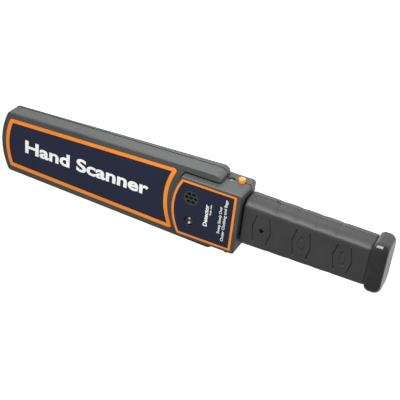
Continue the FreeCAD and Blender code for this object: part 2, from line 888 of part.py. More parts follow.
def make_trimmer():
    """A cream rotor with a screwdriver slot, in a case that stands on the board."""
    case_half, case_depth = 3.4, 4.6
    slot_half_length, slot_half_width, slot_depth = 2.3, 0.4, 1.0
    case = new_body("trimmer_body")
    sketch = new_sketch(case, "XZ", -D.trimmer_face)
    add_rectangle(sketch, D.trimmer_x - case_half, D.trimmer_x + case_half, board_top(), case_half)
    pad(sketch, case_depth)
    rotor = new_body("trimmer_rotor")
    outer = D.box_half - D.trimmer_sunk
    side_disc(rotor, D.trimmer_x, 0, D.trimmer_rotor_radius, D.trimmer_face, outer)
    slot = new_sketch(rotor, "XZ", -outer)
    add_rectangle(slot, D.trimmer_x - slot_half_length, D.trimmer_x + slot_half_length,
                  -slot_half_width, slot_half_width)
    pocket(slot, slot_depth)


def make_power_switch():
    """The slide switch behind the -y wall and the knob that sticks out of its slot."""
    inner = -D.box_half + D.wall
    top = D.slider_rest + D.slider_length / 2
    bottom = D.slider_rest - D.slider_travel - D.slider_length / 2
    half = D.slider_width / 2 + D.running_gap
    shell = 2.0
    case = new_body("power_switch")
    block(case, D.slider_x - half - shell, D.slider_x + half + shell,
          inner + D.fit_gap, inner + D.slide_switch_depth, bottom - shell, top + shell)
    sink_block(case, D.slider_x - half, D.slider_x + half, inner, inner + D.slide_switch_depth / 2,
               bottom - D.running_gap, top + D.running_gap)
    knob = new_body("power_slider")
    block(knob, D.slider_x - D.slider_width / 2, D.slider_x + D.slider_width / 2,
          -D.box_half - D.slider_reach, inner + D.slide_switch_depth / 2 - 0.4,
          top - D.slider_length, top)


# ---------------------------------------------------------------- vibration motor

MOTOR_X = 240.0
MOTOR_Y = -18.0
MOTOR_LENGTH = 12.0
MOTOR_RADIUS = 3.0
WEIGHT_LENGTH = 3.2
SHAFT_GAP = 1.0


def motor_axis_z():
    return board_top() + MOTOR_RADIUS + 0.6


def rod(body, start, end, radius):
    """A round bar along the motor's axis."""
    sketch = new_sketch(body, "YZ", start)
    add_circle(sketch, MOTOR_Y, motor_axis_z(), radius)
    return pad(sketch, as_size(end) - start)


def make_vibrator():
    """The motor lies in a saddle, and its weight is a disc with one side cut away."""
    axis_z = motor_axis_z()
    motor = new_body("vibration_motor")
    rod(motor, MOTOR_X, MOTOR_X + MOTOR_LENGTH, MOTOR_RADIUS)
    inset = 2
    saddle_half = MOTOR_RADIUS + 1
    saddle = new_body("motor_saddle")
    block(saddle, MOTOR_X + inset, MOTOR_X + MOTOR_LENGTH - inset,
          MOTOR_Y - saddle_half, MOTOR_Y + saddle_half, board_top(), axis_z)
    sketch = new_sketch(saddle, "YZ", MOTOR_X + inset)
    add_circle(sketch, MOTOR_Y, axis_z, MOTOR_RADIUS + D.thread_gap)
    pocket(sketch, MOTOR_LENGTH - 2 * inset)

    weight = new_body("eccentric_weight")
    start = MOTOR_X - SHAFT_GAP - WEIGHT_LENGTH
    rod(weight, start, MOTOR_X - SHAFT_GAP, MOTOR_RADIUS - 0.1)
    cutter = new_sketch(weight, "YZ", start)
    add_rectangle(cutter, MOTOR_Y - saddle_half, MOTOR_Y + saddle_half, axis_z + 0.8, axis_z + 4)
    pocket(cutter, WEIGHT_LENGTH)
    rod(weight, MOTOR_X - SHAFT_GAP - 0.1, MOTOR_X - D.fit_gap, 0.75)


# ---------------------------------------------------------------- grip

GRIP_BAYS = 4


def grip_section(shrink, side):
    """Corners (y, z) of one grip half, side +1 for the front and -1 for the rear."""
    if side > 0:
        half, face_half = D.grip_half - shrink, D.grip_face_half - shrink * 0.8
        face, shoulder = D.grip_front - shrink, D.grip_shoulder - shrink * 0.4
        return [(half, D.grip_seam), (half, shoulder), (face_half, face),
                (-face_half, face), (-half, shoulder), (-half, D.grip_seam)]
    half, face_half = D.grip_half - shrink, D.grip_rear_half - shrink * 0.6
    face, shoulder = -D.rear_depth + shrink, -D.grip_rear_shoulder + shrink * 0.4
    drafted = half - D.grip_draft
    return [(-half, -D.grip_seam), (-drafted, shoulder), (-face_half, face),
            (face_half, face), (drafted, shoulder), (half, -D.grip_seam)]


def between(first, second, side):
    """Two distances from the parting plane as (low, high), on the front or the rear side."""
    ends = [as_size(first) * side, as_size(second) * side]
    return sorted(ends, key=lambda size: size.number)


def make_grip(label, side):
    """Half of the grip: a shell with ribs, a screw boss and half of the cord slot."""
    body = new_body(label)
    end_block(body, D.grip_start, D.grip_end, grip_section(as_size(0), side))
    bay = (D.grip_end - D.grip_start - D.grip_rib * (GRIP_BAYS + 1)) / GRIP_BAYS
    for number in range(GRIP_BAYS):
        start = D.grip_start + D.grip_rib + (bay + D.grip_rib) * number
        end_sink(body, start, start + bay, grip_section(D.grip_wall, side))
    reach = D.tube_front if side > 0 else D.tube_rear
    shell = D.grip_front if side > 0 else D.rear_depth
    boss_face = reach + D.fit_gap
    disc(body, D.grip_screw_x, 0, D.grip_boss_radius, *between(boss_face, shell - D.bite, side))
    end_sink(body, D.grip_start, D.grip_end,
             box_corners(D.tube_half + D.fit_gap, *between(-1, reach + D.fit_gap, side)))
    sink_disc(body, D.grip_screw_x, 0, D.small_screw_radius + D.screw_air,
              *between(boss_face, shell, side))
    sink_disc(body, D.grip_screw_x, 0, D.grip_head_radius + D.screw_air * 1.5,
              *between(boss_face + D.grip_head_rest, shell, side))
    sink_block(body, D.cord_slot_start, D.cord_slot_start + D.cord_slot_length,
               D.grip_half - D.grip_wall - D.bite, D.grip_half + D.bite,
               *between(0, D.cord_slot_width / 2, side))


def make_battery_tube():
    """A square tube held in the box by a flange, with screw bosses and the cap's rails."""
    flange_face = D.box_end - D.wall - 0.1
    flange_back = flange_face - 2.2
    flange_rim = 1.4
    end = D.cap_start + 4.0
    rail_length = 2.25
    body = new_body("battery_tube")
    end_block(body, flange_back, end, box_corners(D.tube_half, -D.tube_rear, D.tube_front))
    end_block(body, flange_back, flange_face,
              box_corners(D.tube_half + 2, -D.tube_rear - flange_rim, D.tube_front + flange_rim))
    end_block(body, end - rail_length, end, box_corners(D.rail_half, -D.tube_rear, D.tube_front))
    end_sink(body, flange_back, end,
             box_corners(D.tube_half - D.tube_wall, -D.tube_rear + D.tube_wall,
                         D.tube_front - D.tube_wall))
    for face, side in ((D.tube_front, 1), (D.tube_rear, -1)):
        disc(body, D.grip_screw_x, 0, D.tube_boss_radius,
             *between(face - D.tube_boss_depth, face - D.bite, side))
        sink_disc(body, D.grip_screw_x, 0, D.small_screw_radius + D.thread_gap,
                  *between(face - D.tube_boss_depth, face, side))


def make_end_cap():
    """The cap slides up its rails, so the hollows that the rails pass are open below."""
    body = new_body("battery_cap")
    end = D.total_length
    block(body, D.cap_start, end, -D.cap_half, D.cap_half, -D.rear_depth, D.cap_front)

    def lengthwise(edge):
        box = edge.BoundBox
        return box.YLength < 1e-4 and box.ZLength < 1e-4

    def at_end(edge):
        box = edge.BoundBox
        return abs(box.XMin - end.number) < 1e-3 and box.XLength < 1e-3
    dress(body, "Fillet", lengthwise, D.cap_side_round)
    dress(body, "Fillet", at_end, D.cap_end_round)

    slack = 0.15
    lip = D.cap_start + D.cap_lip
    room = lip + D.cap_rail_room
    roof = D.tube_front + slack
    end_sink(body, D.cap_start, lip, box_corners(D.tube_half + slack, -D.rear_depth, roof))
    end_sink(body, lip, room, box_corners(D.rail_half + slack, -D.rear_depth, roof))
    end_sink(body, room, end - D.wall, box_corners(D.tube_half, -D.tube_rear, roof))


# ---------------------------------------------------------------- battery

def make_battery():
    """A block battery on the tube's floor, with a snap on its terminals and foam above it."""
    middle = (D.tube_front - D.tube_rear) / 2
    low = -D.tube_rear + D.tube_wall + 0.1
    top = low + D.battery_depth
    terminal_half_pitch, terminal_radius, terminal_length = 6.35, 2.8, 2
    snap_half_width, snap_half_depth, snap_sheet = 12.8, 6, 3.15
    foam_half, foam_inset = 10, 3
    body = new_body("battery")
    end = D.battery_start + D.battery_length
    end_block(body, D.battery_start, end, box_corners(D.battery_width / 2, low, top))
    terminals = new_body("battery_terminals")
    for side in (-1, 1):
        sketch = new_sketch(terminals, "YZ", D.battery_start - terminal_length)
        add_circle(sketch, terminal_half_pitch * side, middle, terminal_radius)
        pad(sketch, terminal_length)
    snap = new_body("battery_snap")
    snap_face = D.battery_start - terminal_length - D.fit_gap
    end_block(snap, snap_face - snap_sheet, snap_face,
              box_corners(snap_half_width, middle - snap_half_depth, middle + snap_half_depth))
    foam = new_body("battery_foam")
    end_block(foam, D.battery_start + foam_inset, end - foam_inset,
              box_corners(foam_half, top, D.tube_front - D.tube_wall))


# ---------------------------------------------------------------- wiring

def cable(points, radius):
    """A round wire through the points, which no sketch plane can hold."""
    curve = Part.BSplineCurve()
    curve.interpolate([FreeCAD.Vector(*point) for point in points])
    path = Part.Wire(curve.toShape())
    direction = curve.tangent(curve.FirstParameter)[0]
    ring_edge = Part.makeCircle(radius, FreeCAD.Vector(*points[0]), direction)
    return path.makePipeShell([Part.Wire(ring_edge)], True, True)


def shifted(points, across=0.0, along=0.0):
    return [(x + along, y + across, z) for x, y, z in points]


def add_wires(label, shapes):
    wires = doc.addObject("Part::Feature", label)
    wires.Label = label
    wires.Shape = Part.makeCompound(shapes)
    place(wires)


def make_wires():
    """Pairs of leads from each device to the board, through the bends that they take."""
    thick, thin, fine = 0.6, 0.4, 0.35
    pitch = 3.0
    top = board_top().number
    lands = top + 0.1
    middle = ((D.tube_front - D.tube_rear) / 2).number
    snap = D.battery_start.number - 5.7
    battery_run = [(267.0, -3.0, top + 0.45), (271.0, -3.0, top + 2.5), (280.0, -3.0, middle + 1),
                   (320.0, -3.0, -4.0), (snap, -3.0, middle)]
    add_wires("battery_leads", [cable(shifted(battery_run, step), thick) for step in (0, pitch * 2)])

    coil_z = (D.coil_low + D.coil_height / 2).number
    coil_run = [(198.0, -2.0, coil_z), (206.0, -2.0, coil_z), (212.0, -2.0, coil_z / 2),
                (217.0, -2.0, top + 0.45)]
    add_wires("coil_leads", [cable(shifted(coil_run, step), thin) for step in (0, pitch)])

    speaker_x = D.grille_x.number + 4
    speaker_y = D.grille_y.number - 3
    magnet = (D.box_front - D.wall).number - 5.5
    speaker_run = [(speaker_x, speaker_y, magnet), (speaker_x + 3, speaker_y + 1, 8.0),
                   (speaker_x + 1, speaker_y + 2, lands)]
    add_wires("speaker_leads", [cable(shifted(speaker_run, step), thin) for step in (0, pitch)])

    switch_y = (-D.box_half + D.wall + D.slide_switch_depth).number + 0.4
    switch_x = D.slider_x.number
    switch_run = [(switch_x, switch_y, 14.0), (switch_x - 1, switch_y + 3, 8.0),
                  (switch_x - 3, switch_y + 2, lands)]
    add_wires("switch_leads", [cable(shifted(switch_run, along=step), thin) for step in (0, -pitch)])

    motor_end = MOTOR_X + MOTOR_LENGTH
    motor_z = motor_axis_z().number
    motor_run = [(motor_end + 0.05, MOTOR_Y, motor_z), (motor_end + 3, MOTOR_Y, motor_z - 0.5),
                 (motor_end + 5, MOTOR_Y, lands)]
    add_wires("motor_leads", [cable(shifted(motor_run, step), fine) for step in (-1, 1)])


# ---------------------------------------------------------------- screws

def cross_recess(body, x, y, low, depth):
    """The cross in a screw head, cut from low upwards."""
    arm, half = 1.2, 0.25
    for across, along in ((arm, half), (half, arm)):
        sink_block(body, x - across, x + across, y - along, y + along, low, as_size(low) + depth)


def make_housing_screws():
    head, engagement, cross = 1.7, 8.0, 1.0
    body = new_body("housing_screws")
    for x, y in both_sides(RIM_SCREWS):
        under_head = -rear_at(x) + D.screw_sink
        disc(body, x, y, D.screw_head_radius, under_head - head, under_head)
        disc(body, x, y, D.screw_radius, under_head, engagement)
        cross_recess(body, x, y, under_head - head, cross)


def make_board_screws():
    head, engagement, cross = 1.2, 4.0, 0.6
    body = new_body("board_screws")
    for x, y in both_sides(BOARD_SCREWS):
        disc(body, x, y, D.small_screw_radius, D.board_bottom - engagement, board_top())
        disc(body, x, y, D.small_head_radius, board_top(), board_top() + head)
        cross_recess(body, x, y, board_top() + head - cross, cross)


def make_grip_screws():
    """One screw from the front and one from the rear hold the grip halves on the tube."""
    head, engagement, cross = 1.2, 4.5, 0.6
    body = new_body("grip_screws")
    x, y = D.grip_screw_x, as_size(0)
    for face, side in ((D.tube_front, 1), (D.tube_rear, -1)):
        rest = face + D.grip_head_rest + D.fit_gap
        disc(body, x, y, D.grip_head_radius, *between(rest, rest + head, side))
        disc(body, x, y, D.small_screw_radius, *between(face - engagement, rest, side))
        cross_recess(body, x, y, between(rest + head - cross, rest + head, side)[0], cross)


# ---------------------------------------------------------------- build and write

make_front_housing()
make_rear_housing()
make_paddle_label()
make_control_label()
make_coil()
make_main_board()
make_board_parts()
make_speaker()
make_lamps()
make_push_button()
make_trimmer()
make_power_switch()
make_vibrator()
make_grip("front_grip", 1)
make_grip("rear_grip", -1)
make_battery_tube()
make_end_cap()
make_battery()
make_wires()
make_housing_screws()
make_board_screws()
make_grip_screws()
doc.recompute()

failed = [item.Name for item in doc.Objects if "Invalid" in item.State or "Error" in item.State]
if failed:
    raise RuntimeError("failed objects: " + ", ".join(failed))

PIECE_TYPES = ("PartDesign::Body", "Part::Feature")
pieces = [item for item in doc.Objects if item.TypeId in PIECE_TYPES]
for piece in pieces:
    if piece.Shape.isNull() or not piece.Shape.isValid():
        raise RuntimeError(piece.Label + " has no valid shape")

os.makedirs("parts", exist_ok=True)
for piece in pieces:
    piece.Shape.exportStep("parts/" + piece.Label + ".step")
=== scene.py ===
import json
import math

import bmesh
import bpy
import numpy as np
from mathutils import Euler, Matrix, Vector


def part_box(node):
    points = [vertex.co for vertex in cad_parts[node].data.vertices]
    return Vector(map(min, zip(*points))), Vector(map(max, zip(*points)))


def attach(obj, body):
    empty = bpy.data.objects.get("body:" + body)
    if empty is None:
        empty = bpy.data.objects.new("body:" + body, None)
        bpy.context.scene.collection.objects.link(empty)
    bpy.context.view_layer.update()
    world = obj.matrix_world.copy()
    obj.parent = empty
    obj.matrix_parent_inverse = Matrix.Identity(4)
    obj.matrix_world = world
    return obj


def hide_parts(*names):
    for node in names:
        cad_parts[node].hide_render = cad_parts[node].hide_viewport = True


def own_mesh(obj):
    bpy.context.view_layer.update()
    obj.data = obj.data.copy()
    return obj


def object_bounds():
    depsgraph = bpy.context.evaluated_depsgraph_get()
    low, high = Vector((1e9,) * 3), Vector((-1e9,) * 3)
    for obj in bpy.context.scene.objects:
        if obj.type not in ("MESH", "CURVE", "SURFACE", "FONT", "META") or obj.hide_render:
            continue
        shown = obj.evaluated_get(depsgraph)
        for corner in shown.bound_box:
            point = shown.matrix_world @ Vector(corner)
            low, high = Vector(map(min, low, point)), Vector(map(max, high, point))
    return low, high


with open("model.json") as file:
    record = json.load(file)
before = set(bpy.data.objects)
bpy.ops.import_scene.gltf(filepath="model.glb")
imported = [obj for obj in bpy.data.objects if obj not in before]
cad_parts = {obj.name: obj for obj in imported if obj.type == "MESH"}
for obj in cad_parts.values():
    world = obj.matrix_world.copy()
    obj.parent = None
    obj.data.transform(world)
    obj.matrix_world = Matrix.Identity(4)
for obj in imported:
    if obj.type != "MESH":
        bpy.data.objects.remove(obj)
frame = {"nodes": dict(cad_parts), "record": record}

# A handheld metal-detector wand that lies on its back. The CAD nodes give the
# places of everything; this script gives them finishes and stands detailed
# meshes in for the labels, the grip, the end cap, the lamps, the button and its
# spring. X runs from the paddle's tip to the end cap, and the labels face +Z.

MM = 0.001
CAD_LOW, CAD_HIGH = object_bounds()
TIP_X = CAD_LOW.x
PARTING_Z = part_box("front_housing")[0].z


# ---------------------------------------------------------------- finishes

RELIEF = "relief"
# Relief ranges, in mm, over which painted shade fills the grip's grooves and screw hole, and occlusion
# levels over which painted shade fills crevices.
GROOVE_SHADE_RANGE = (-0.15, -0.9)
HOLE_SHADE_RANGE = (-1.3, -1.5)
OPEN_SKY, CLOSED_SKY = 0.76, 0.38


class Finish:
    """A material with short calls for the nodes that the finishes share."""

    def __init__(self, name):
        self.material = bpy.data.materials.new(name)
        self.material.use_nodes = True
        self.tree = self.material.node_tree
        self.tree.nodes.clear()
        self.surface = self.node("ShaderNodeBsdfPrincipled")
        output = self.node("ShaderNodeOutputMaterial")
        self.tree.links.new(self.surface.outputs["BSDF"], output.inputs["Surface"])
        self.place = self.node("ShaderNodeTexCoord").outputs["Object"]
        self.normal = None

    def node(self, kind, **settings):
        made = self.tree.nodes.new(kind)
        for name, value in settings.items():
            setattr(made, name, value)
        return made

    def feed(self, socket, value):
        """Link an output to a socket, or give the socket a plain value."""
        if isinstance(value, bpy.types.NodeSocket):
            self.tree.links.new(value, socket)
        else:
            socket.default_value = value

    def set(self, **inputs):
        for name, value in inputs.items():
            self.feed(self.surface.inputs[name.replace("_", " ")], value)

    def noise(self, size, detail=3.0, stretch=(1, 1, 1), roughness=0.55):
        """Noise from 0 to 1 whose features are about size metres across."""
        mapping = self.node("ShaderNodeMapping")
        mapping.inputs["Scale"].default_value = stretch
        self.feed(mapping.inputs["Vector"], self.place)
        texture = self.node("ShaderNodeTexNoise")
        self.feed(texture.inputs["Vector"], mapping.outputs["Vector"])
        texture.inputs["Scale"].default_value = 1 / size
        texture.inputs["Detail"].default_value = detail
        texture.inputs["Roughness"].default_value = roughness
        return texture.outputs["Fac"]

    def cells(self, size, feature="F1"):
        texture = self.node("ShaderNodeTexVoronoi", feature=feature)
        self.feed(texture.inputs["Vector"], self.place)
        texture.inputs["Scale"].default_value = 1 / size
        return texture.outputs["Distance"]

    def span(self, value, low, high, to_low=0.0, to_high=1.0):
        """Map low..high to to_low..to_high, and stop at the ends."""
        mapper = self.node("ShaderNodeMapRange")
        self.feed(mapper.inputs["Value"], value)
        mapper.inputs["From Min"].default_value = low
        mapper.inputs["From Max"].default_value = high
        mapper.inputs["To Min"].default_value = to_low
        mapper.inputs["To Max"].default_value = to_high
        return mapper.outputs["Result"]

    def math(self, operation, first, second=0.0):
        made = self.node("ShaderNodeMath", operation=operation)
        self.feed(made.inputs[0], first)
        self.feed(made.inputs[1], second)
        return made.outputs["Value"]

    def mix(self, share, first, second):
        made = self.node("ShaderNodeMix", data_type="RGBA")
        sockets = [item for item in made.inputs if item.type == "RGBA"]
        self.feed(made.inputs["Factor"], share)
        self.feed(sockets[0], first)
        self.feed(sockets[1], second)
        return [item for item in made.outputs if item.type == "RGBA"][0]

    def edges(self, radius, softness=0.16):
        """1 on edges sharper than the radius, 0 on flat and gently curved faces."""
        bevel = self.node("ShaderNodeBevel", samples=4)
        bevel.inputs["Radius"].default_value = radius
        turn = self.node("ShaderNodeVectorMath", operation="DOT_PRODUCT")
        geometry = self.node("ShaderNodeNewGeometry")
        self.feed(turn.inputs[0], bevel.outputs["Normal"])
        self.feed(turn.inputs[1], geometry.outputs["Normal"])
        return self.span(turn.outputs["Value"], 0.99, 1.0 - softness)

    def painted_crevice_shade(self, reach):
        """Painted shade mask from ambient occlusion: 1 deep in gaps and grooves narrower than the
        reach, 0 on open faces.
        """
        occlusion = self.node("ShaderNodeAmbientOcclusion", samples=8)
        occlusion.inputs["Distance"].default_value = reach
        return self.span(occlusion.outputs["AO"], OPEN_SKY, CLOSED_SKY)

    def bump(self, height, depth):
        """Raise the surface by height times depth metres, on top of earlier bumps."""
        made = self.node("ShaderNodeBump")
        made.inputs["Distance"].default_value = depth
        self.feed(made.inputs["Height"], height)
        if self.normal is not None:
            self.feed(made.inputs["Normal"], self.normal)
        self.normal = made.outputs["Normal"]
        self.feed(self.surface.inputs["Normal"], self.normal)


def shade(colour, factor):
    """The colour made lighter or darker, with an alpha of 1."""
    return tuple(min(1.0, part * factor) for part in colour[:3]) + (1.0,)


def moulded(name, colour, roughness, grain=0.45 * MM, wear=0.35, swirl=0.10):
    """Moulded plastic: sparked grain, uneven sheen, flow marks, rubbed edges, and painted shade
    darkening its gaps and grooves.
    """
    finish = Finish(name)
    broad = finish.noise(28 * MM, 2.0, (0.45, 1, 1))
    fine = finish.noise(2.2 * MM, 4.0)
    base = finish.mix(finish.span(broad, 0.3, 0.7), shade(colour, 1 - swirl), shade(colour, 1 + swirl))
    specks = finish.span(fine, 0.35, 0.72)
    base = finish.mix(finish.math("MULTIPLY", specks, 0.22), base, shade(colour, 1.45))
    rubbed = finish.math("MULTIPLY", finish.edges(0.5 * MM), finish.span(fine, 0.32, 0.62))
    rubbed = finish.math("MULTIPLY", rubbed, wear)
    base = finish.mix(rubbed, base, shade(colour, 2.3))
    # Painted shade: gaps, grooves and seams are darkened by ambient occlusion, with less specular
    # there.
    painted_crevice_shade = finish.painted_crevice_shade(3.2 * MM)
    base = finish.mix(painted_crevice_shade, base, shade(colour, 0.12))
    sheen = finish.math("ADD", finish.span(broad, 0.25, 0.75, roughness - 0.05, roughness + 0.05),
                        finish.span(fine, 0.3, 0.7, -0.04, 0.04))
    finish.set(Base_Color=base, Roughness=finish.math("SUBTRACT", sheen, rubbed),
               Specular_IOR_Level=finish.span(painted_crevice_shade, 0.0, 1.0, 0.5, 0.1))
    finish.bump(finish.noise(grain, 2.0), 0.018 * MM)
    return finish.material


def soft_touch(name, colour):
    """Rubbery grip coating: fine grain, a soft sheen, paler rubbed edges, and painted shade in its
    grooves, screw hole and gaps.
    """
    finish = Finish(name)
    broad = finish.noise(18 * MM, 3.0)
    fine = finish.noise(0.9 * MM, 5.0)
    base = finish.mix(finish.span(broad, 0.3, 0.7), shade(colour, 0.88), shade(colour, 1.12))
    rubbed = finish.math("MULTIPLY", finish.edges(0.8 * MM, 0.2), finish.span(fine, 0.3, 0.6, 0.1, 0.5))
    base = finish.mix(rubbed, base, shade(colour, 2.0))
    relief = finish.node("ShaderNodeAttribute", attribute_name=RELIEF).outputs["Fac"]
    # Painted shade: the pad grooves are darkened by their depth, read from the relief attribute.
    base = finish.mix(finish.span(relief, *GROOVE_SHADE_RANGE), base, shade(colour, 0.45))
    # Painted shade: the screw hole and its rim are painted nearly black, without specular or sheen.
    hole = finish.span(relief, *HOLE_SHADE_RANGE)
    base = finish.mix(hole, base, shade(colour, 0.03))
    # Painted shade in narrow gaps, from ambient occlusion.
    base = finish.mix(finish.painted_crevice_shade(2.2 * MM), base, shade(colour, 0.2))
    finish.set(Base_Color=base, Roughness=finish.span(fine, 0.3, 0.7, 0.42, 0.56),
               Sheen_Weight=finish.span(hole, 0.0, 1.0, 0.12, 0.0), Sheen_Roughness=0.5,
               Specular_IOR_Level=finish.span(hole, 0.0, 1.0, 0.5, 0.0))
    finish.bump(finish.noise(0.35 * MM, 2.0), 0.02 * MM)
    finish.bump(broad, 0.10 * MM)
    return finish.material


def glossy(name, colour, roughness):
    """Polished plastic: hair scratches, fingerprints and orange peel."""
    finish = Finish(name)
    smear = finish.noise(9 * MM, 4.0)
    hair = finish.noise(0.5 * MM, 2.0, (0.04, 1, 1))
    base = finish.mix(finish.span(smear, 0.35, 0.7), shade(colour, 0.9), shade(colour, 1.2))
    rubbed = finish.math("MULTIPLY", finish.edges(0.4 * MM), finish.span(hair, 0.4, 0.6, 0.1, 0.4))
    base = finish.mix(rubbed, base, shade(colour, 2.4))
    finish.set(Base_Color=base, Roughness=finish.span(smear, 0.3, 0.75, roughness, roughness + 0.14),
               Coat_Weight=0.35, Coat_Roughness=0.06)
    finish.bump(finish.noise(3.5 * MM, 1.0), 0.02 * MM)
    finish.bump(hair, 0.003 * MM)
    return finish.material


def printed(name, colour, roughness=0.30, glow=0.0):
    """Ink on a polyester sheet: slight mottle, a satin top film and light scuffs; glow makes the ink
    give off light of its own colour, which is painted light.
    """
    finish = Finish(name)
    mottle = finish.noise(0.6 * MM, 3.0)
    cloud = finish.noise(22 * MM, 2.0)
    scuff = finish.noise(1.4 * MM, 3.0, (0.06, 1, 1))
    base = finish.mix(finish.span(cloud, 0.3, 0.7), shade(colour, 0.93), shade(colour, 1.07))
    base = finish.mix(finish.span(mottle, 0.4, 0.75, 0.0, 0.16), base, shade(colour, 1.3))
    # Painted light: the ink glows in its own colour at the glow strength.
    finish.set(Base_Color=base,
               Roughness=finish.span(scuff, 0.45, 0.8, roughness, roughness + 0.18),
               Coat_Weight=0.12, Coat_Roughness=0.2, Specular_IOR_Level=0.35,
               Emission_Color=(*colour, 1), Emission_Strength=glow)
    finish.bump(finish.noise(0.25 * MM, 1.0), 0.004 * MM)
    return finish.material


def rubber_button(name, root, tip):
    """Dyed silicone with a little light inside; its outer end, which faces the key light, is painted
    paler as a painted highlight.
    """
    finish = Finish(name)
    axes = finish.node("ShaderNodeSeparateXYZ")
    finish.feed(axes.inputs["Vector"], finish.place)
    outer_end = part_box("push_button")[1].y
    reach = finish.span(axes.outputs["Y"], outer_end - 4 * MM, outer_end)
    fine = finish.noise(0.8 * MM, 3.0)
    # Painted highlight: the colour runs from root to tip over the last 4 mm of the outer end.
    base = finish.mix(reach, (*root, 1), (*tip, 1))
    base = finish.mix(finish.span(fine, 0.3, 0.7, 0.0, 0.2), base, shade(root, 0.8))
    finish.set(Base_Color=base, Roughness=finish.span(fine, 0.3, 0.7, 0.34, 0.46),
               Subsurface_Weight=0.25, Subsurface_Scale=1.5 * MM, Subsurface_Radius=(1, 0.4, 0.1))
    finish.bump(finish.noise(0.5 * MM, 2.0), 0.015 * MM)
    return finish.material


def metal(name, colour, roughness, brush=(1, 1, 1), grain=0.4 * MM):
    """Bare or plated metal with brush marks and tarnish."""
    finish = Finish(name)
    marks = finish.noise(grain, 3.0, brush)
    tarnish = finish.noise(5 * MM, 4.0)
    base = finish.mix(finish.span(tarnish, 0.35, 0.75), shade(colour, 0.78), shade(colour, 1.08))
    finish.set(Base_Color=base, Metallic=1.0,
               Roughness=finish.span(marks, 0.3, 0.7, roughness - 0.08, roughness + 0.12))
    finish.bump(marks, 0.006 * MM)
    return finish.material


def epoxy(name, colour):
    """Clear lamp epoxy with a faint tint and a few cloudy streaks."""
    finish = Finish(name)
    cloud = finish.noise(1.2 * MM, 2.0)
    base = finish.mix(finish.span(cloud, 0.3, 0.7), shade(colour, 0.85), shade(colour, 1.1))
    finish.set(Base_Color=base, Transmission_Weight=0.45, IOR=1.52,
               Roughness=finish.span(cloud, 0.3, 0.7, 0.06, 0.2))
    finish.bump(finish.noise(1.0 * MM, 1.0), 0.01 * MM)
    return finish.material


def circuit_board(name):
    """Solder mask over a pattern of tracks."""
    finish = Finish(name)
    tracks = finish.node("ShaderNodeTexBrick")
    finish.feed(tracks.inputs["Vector"], finish.place)
    tracks.inputs["Scale"].default_value = 1 / (7 * MM)
    tracks.inputs["Color1"].default_value = (0.012, 0.09, 0.03, 1)
    tracks.inputs["Color2"].default_value = (0.016, 0.11, 0.04, 1)
    tracks.inputs["Mortar"].default_value = (0.04, 0.22, 0.09, 1)
    tracks.inputs["Mortar Size"].default_value = 0.06
    fine = finish.noise(1.5 * MM, 3.0)
    base = finish.mix(finish.span(fine, 0.3, 0.7, 0.0, 0.3), tracks.outputs["Color"],
                      (0.01, 0.06, 0.02, 1))
    finish.set(Base_Color=base, Roughness=finish.span(fine, 0.3, 0.7, 0.22, 0.36), Coat_Weight=0.3)
    finish.bump(tracks.outputs["Fac"], 0.03 * MM)
    return finish.material


def porous(name, colour, size, depth):
    """Open-cell foam or pressed paper: deep pores and no gloss."""
    finish = Finish(name)
    pores = finish.cells(size)
    fine = finish.noise(size / 2, 3.0)
    base = finish.mix(finish.span(pores, 0.1, 0.7), shade(colour, 0.5), shade(colour, 1.2))
    finish.set(Base_Color=base, Roughness=finish.span(fine, 0.3, 0.7, 0.85, 0.95),
               Specular_IOR_Level=0.2)
    finish.bump(pores, depth)
    return finish.material


def sleeve(name, first, second):
    """Wire insulation in patches of two colours, with faint length-wise marks."""
    finish = Finish(name)
    marks = finish.noise(1.2 * MM, 3.0, (0.3, 1, 1))
    bands = finish.noise(9 * MM, 0.0)
    base = finish.mix(finish.span(bands, 0.49, 0.51), (*first, 1), (*second, 1))
    base = finish.mix(finish.span(marks, 0.3, 0.7, 0.0, 0.25), base, shade(first, 0.6))
    finish.set(Base_Color=base, Roughness=finish.span(marks, 0.3, 0.7, 0.3, 0.45))
    finish.bump(marks, 0.02 * MM)
    return finish.material


HOUSING_GREY = (0.062, 0.067, 0.064)
GRIP_GREY = (0.033, 0.035, 0.033)
NAVY = (0.0112, 0.0163, 0.041)
ORANGE = (0.87, 0.245, 0.018)

